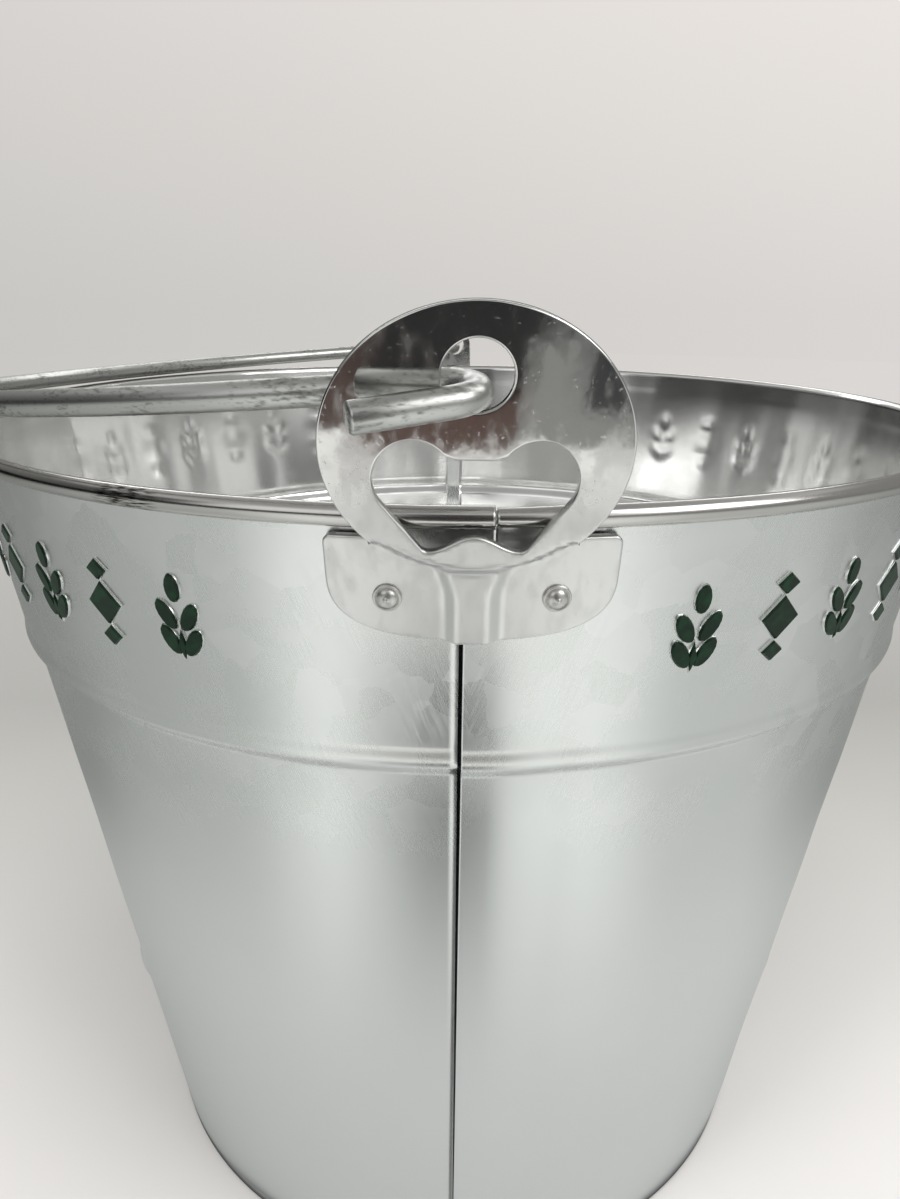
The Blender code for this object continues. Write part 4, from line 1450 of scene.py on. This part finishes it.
def make_floor(studio):
    """A pale floor that keeps the bucket's shadow and fades into the background. Its colour also
    holds painted shade, one for the camera and one with painted light for the metal.
    """
    material, tree, shader, place = new_material("pale floor")
    distance = calc_vector(tree, "LENGTH", place)
    turn = round_place(tree, place)[0]
    rays = add(tree, "LightPath", {}, {}).outputs

    # As the metal sees the floor: a painted contact shadow at the foot, painted shadow and light in
    # lanes round it, and painted shade far in front
    contact = shades(tree, calc(tree, "MULTIPLY", distance, 10.0), CONTACT)
    near = run(tree, distance, 0.12, 0.25, smooth=True)
    close = mix(tree, near, contact, shades_round(tree, turn, LANES))
    past = run(tree, distance, 0.29, 0.35, smooth=True)
    aside = calc(tree, "ABSOLUTE", turn)
    front = run(tree, aside, math.radians(16), math.radians(30), 1.0, 0.0, smooth=True)
    shown = mix(tree, product(tree, past, front), close, shades(tree, distance, BEYOND))

    # As the camera sees the floor: painted shade, darker behind the bucket and far in front of it
    depth = run(tree, split(tree, place)[1], -1.0, 1.0)
    plain = shades(tree, depth, [((back + 1) / 2, shade) for back, shade in FLOOR_DEPTHS])
    tint = mix(tree, rays["Is Glossy Ray"], plain, shown)
    plug(tree, shader, {"Base Color": tint, "Roughness": 0.7})

    backdrop = backdrop_colour(tree, calc_vector(tree, "NORMALIZE", place))
    glow = add(tree, "Emission", {}, {"Color": backdrop, "Strength": 1.0})
    far = product(tree, run(tree, distance, 0.30, 0.85, smooth=True), rays["Is Camera Ray"])
    faded = add(tree, "MixShader", {}, {0: far, 1: shader.outputs[0], 2: glow.outputs[0]})
    tree.links.new(faded.outputs[0], tree.nodes["Material Output"].inputs["Surface"])

    bm = bmesh.new()
    bmesh.ops.create_circle(bm, cap_ends=True, segments=64, radius=studio.floor_radius)
    floor = mesh_object(bm, "floor", [material])


def make_world(studio):
    """The plain background for the camera, and pale surroundings with windows for the metal."""
    world = bpy.data.worlds.new("pale studio")
    world.use_nodes = True
    tree = world.node_tree
    direction = add(tree, "TexCoord", {}, {}).outputs["Generated"]
    turn, rise = round_place(tree, direction)
    low = run(tree, rise, 0.5, 0.75, 1.0, 0.0, smooth=True)
    ceiling = shades(tree, rise, CEILING)
    walls = mix(tree, low, ceiling, shades_round(tree, turn, WINDOWS), "MULTIPLY")
    across = run(tree, split(tree, direction)[0], 0.0, 0.6)
    sky = mix(tree, across, walls, studio.surround, "LIGHTEN")
    seen = add(tree, "LightPath", {}, {}).outputs["Is Camera Ray"]
    shown = mix(tree, seen, sky, backdrop_colour(tree, direction))
    plug(tree, tree.nodes["Background"], {"Color": shown, "Strength": 1.0})
    bpy.context.scene.world = world


def add_light(name, power, size, place, target):
    """A soft rectangular lamp at a place, turned to a target."""
    data = bpy.data.lights.new(name, "AREA")
    data.shape = "RECTANGLE"
    data.size, data.size_y = size
    data.energy = power
    light = put(name, data)
    light.location = place
    light.rotation_euler = (Vector(target) - Vector(place)).to_track_quat("-Z", "Y").to_euler()
    return light


def add_card(name, code, low, high):
    """A plain upright card that glows with its colour, unlit, and that the camera doesn't see: a
    painted reflection for the mirror disc to show.
    """
    material, tree, shader, _ = new_material(name)
    black = (0.0, 0.0, 0.0, 1.0)
    glow = {"Base Color": black, "Emission Color": linear(code), "Emission Strength": 1.0}
    plug(tree, shader, glow)
    bm = bmesh.new()
    bmesh.ops.create_grid(bm, x_segments=1, y_segments=1, size=0.5)
    wide, tall = high[0] - low[0], high[2] - low[2]
    middle = Matrix.Translation((Vector(low) + Vector(high)) / 2)
    upright = Matrix.Rotation(math.pi / 2, 4, "X") @ Matrix.Diagonal((wide, tall, 1.0, 1.0))
    bmesh.ops.transform(bm, matrix=middle @ upright, verts=bm.verts)
    card = mesh_object(bm, name, [material])
    card.visible_camera = card.visible_shadow = card.visible_diffuse = False


# Width of the camera's frame in millimetres
FRAME_WIDTH = 36.0


def add_camera(studio):
    """The camera at the photograph's place and angle."""
    data = bpy.data.cameras.new("camera")
    data.sensor_fit = "HORIZONTAL"
    data.sensor_width = FRAME_WIDTH
    data.lens = studio.lens
    data.clip_start = 0.001
    camera = put("camera", data)
    ahead = Vector(studio.aim).normalized()
    right = ahead.cross(Vector(studio.upright)).normalized()
    turned = Matrix((right, right.cross(ahead), -ahead)).transposed().to_4x4()
    camera.matrix_world = Matrix.Translation(studio.eye) @ turned
    bpy.context.scene.camera = camera


class BUCKET_OT_studio(bpy.types.Operator):
    """Makes the pale floor, the soft lights and the camera"""

    bl_idname = "bucket.studio"
    bl_label = "Studio"

    def execute(self, context):
        studio = context.scene.bucket_studio
        make_floor(studio)
        make_world(studio)
        add_light("key", studio.key, (0.7, 0.7), (0.8, -0.6, 0.9), (0.0, 0.0, 0.1))
        fill = add_light("fill", studio.fill, (0.5, 0.7), (-0.9, -0.7, 0.7), (0.0, 0.0, 0.1))
        top = add_light("top", studio.top, (1.0, 1.0), (0.1, -0.2, 1.5), (0.0, 0.0, 0.1))
        fill.visible_glossy = top.visible_glossy = False
        behind = add_light("back", studio.back, (1.8, 0.25), (0.0, 1.3, 1.0), (0.0, 0.0, 0.15))
        behind.visible_diffuse = False
        for card in CARDS:
            add_card(*card)
        add_camera(studio)
        context.scene.view_settings.view_transform = "Standard"
        return {"FINISHED"}


# The sidebar


class BUCKET_PT_panel(bpy.types.Panel):
    """Lists the bucket's pieces and their sizes"""

    bl_idname = "BUCKET_PT_panel"
    bl_label = "Bucket"
    bl_space_type = "VIEW_3D"
    bl_region_type = "UI"
    bl_category = "Bucket"

    def draw(self, context):
        for operator in OPERATORS:
            self.layout.operator(operator.bl_idname)
        for name, group in PROPERTIES.items():
            box = self.layout.box()
            box.label(text=group.__name__)
            for field in group.__annotations__:
                label = field.replace("_", " ").capitalize()
                box.prop(getattr(context.scene, name), field, text=label)


OPERATORS = (
    BUCKET_OT_studio,
    BUCKET_OT_walls,
    BUCKET_OT_seam_folds,
    BUCKET_OT_lugs,
    BUCKET_OT_base,
    BUCKET_OT_ears,
    BUCKET_OT_rivets,
    BUCKET_OT_bail,
    BUCKET_OT_ornaments,
)


def register():
    for group in (*PROPERTIES.values(), *OPERATORS, BUCKET_PT_panel):
        bpy.utils.register_class(group)
    for name, group in PROPERTIES.items():
        setattr(bpy.types.Scene, name, PointerProperty(type=group))


def unregister():
    for name in PROPERTIES:
        delattr(bpy.types.Scene, name)
    for group in reversed((*PROPERTIES.values(), *OPERATORS, BUCKET_PT_panel)):
        bpy.utils.unregister_class(group)


def main():
    register()
    bpy.ops.bucket.studio()
    bpy.ops.bucket.walls()
    bpy.ops.bucket.seam_folds()
    bpy.ops.bucket.lugs()
    bpy.ops.bucket.base()
    bpy.ops.bucket.ears()
    bpy.ops.bucket.rivets()
    bpy.ops.bucket.bail()
    bpy.ops.bucket.ornaments()


if __name__ == "__main__":
    main()
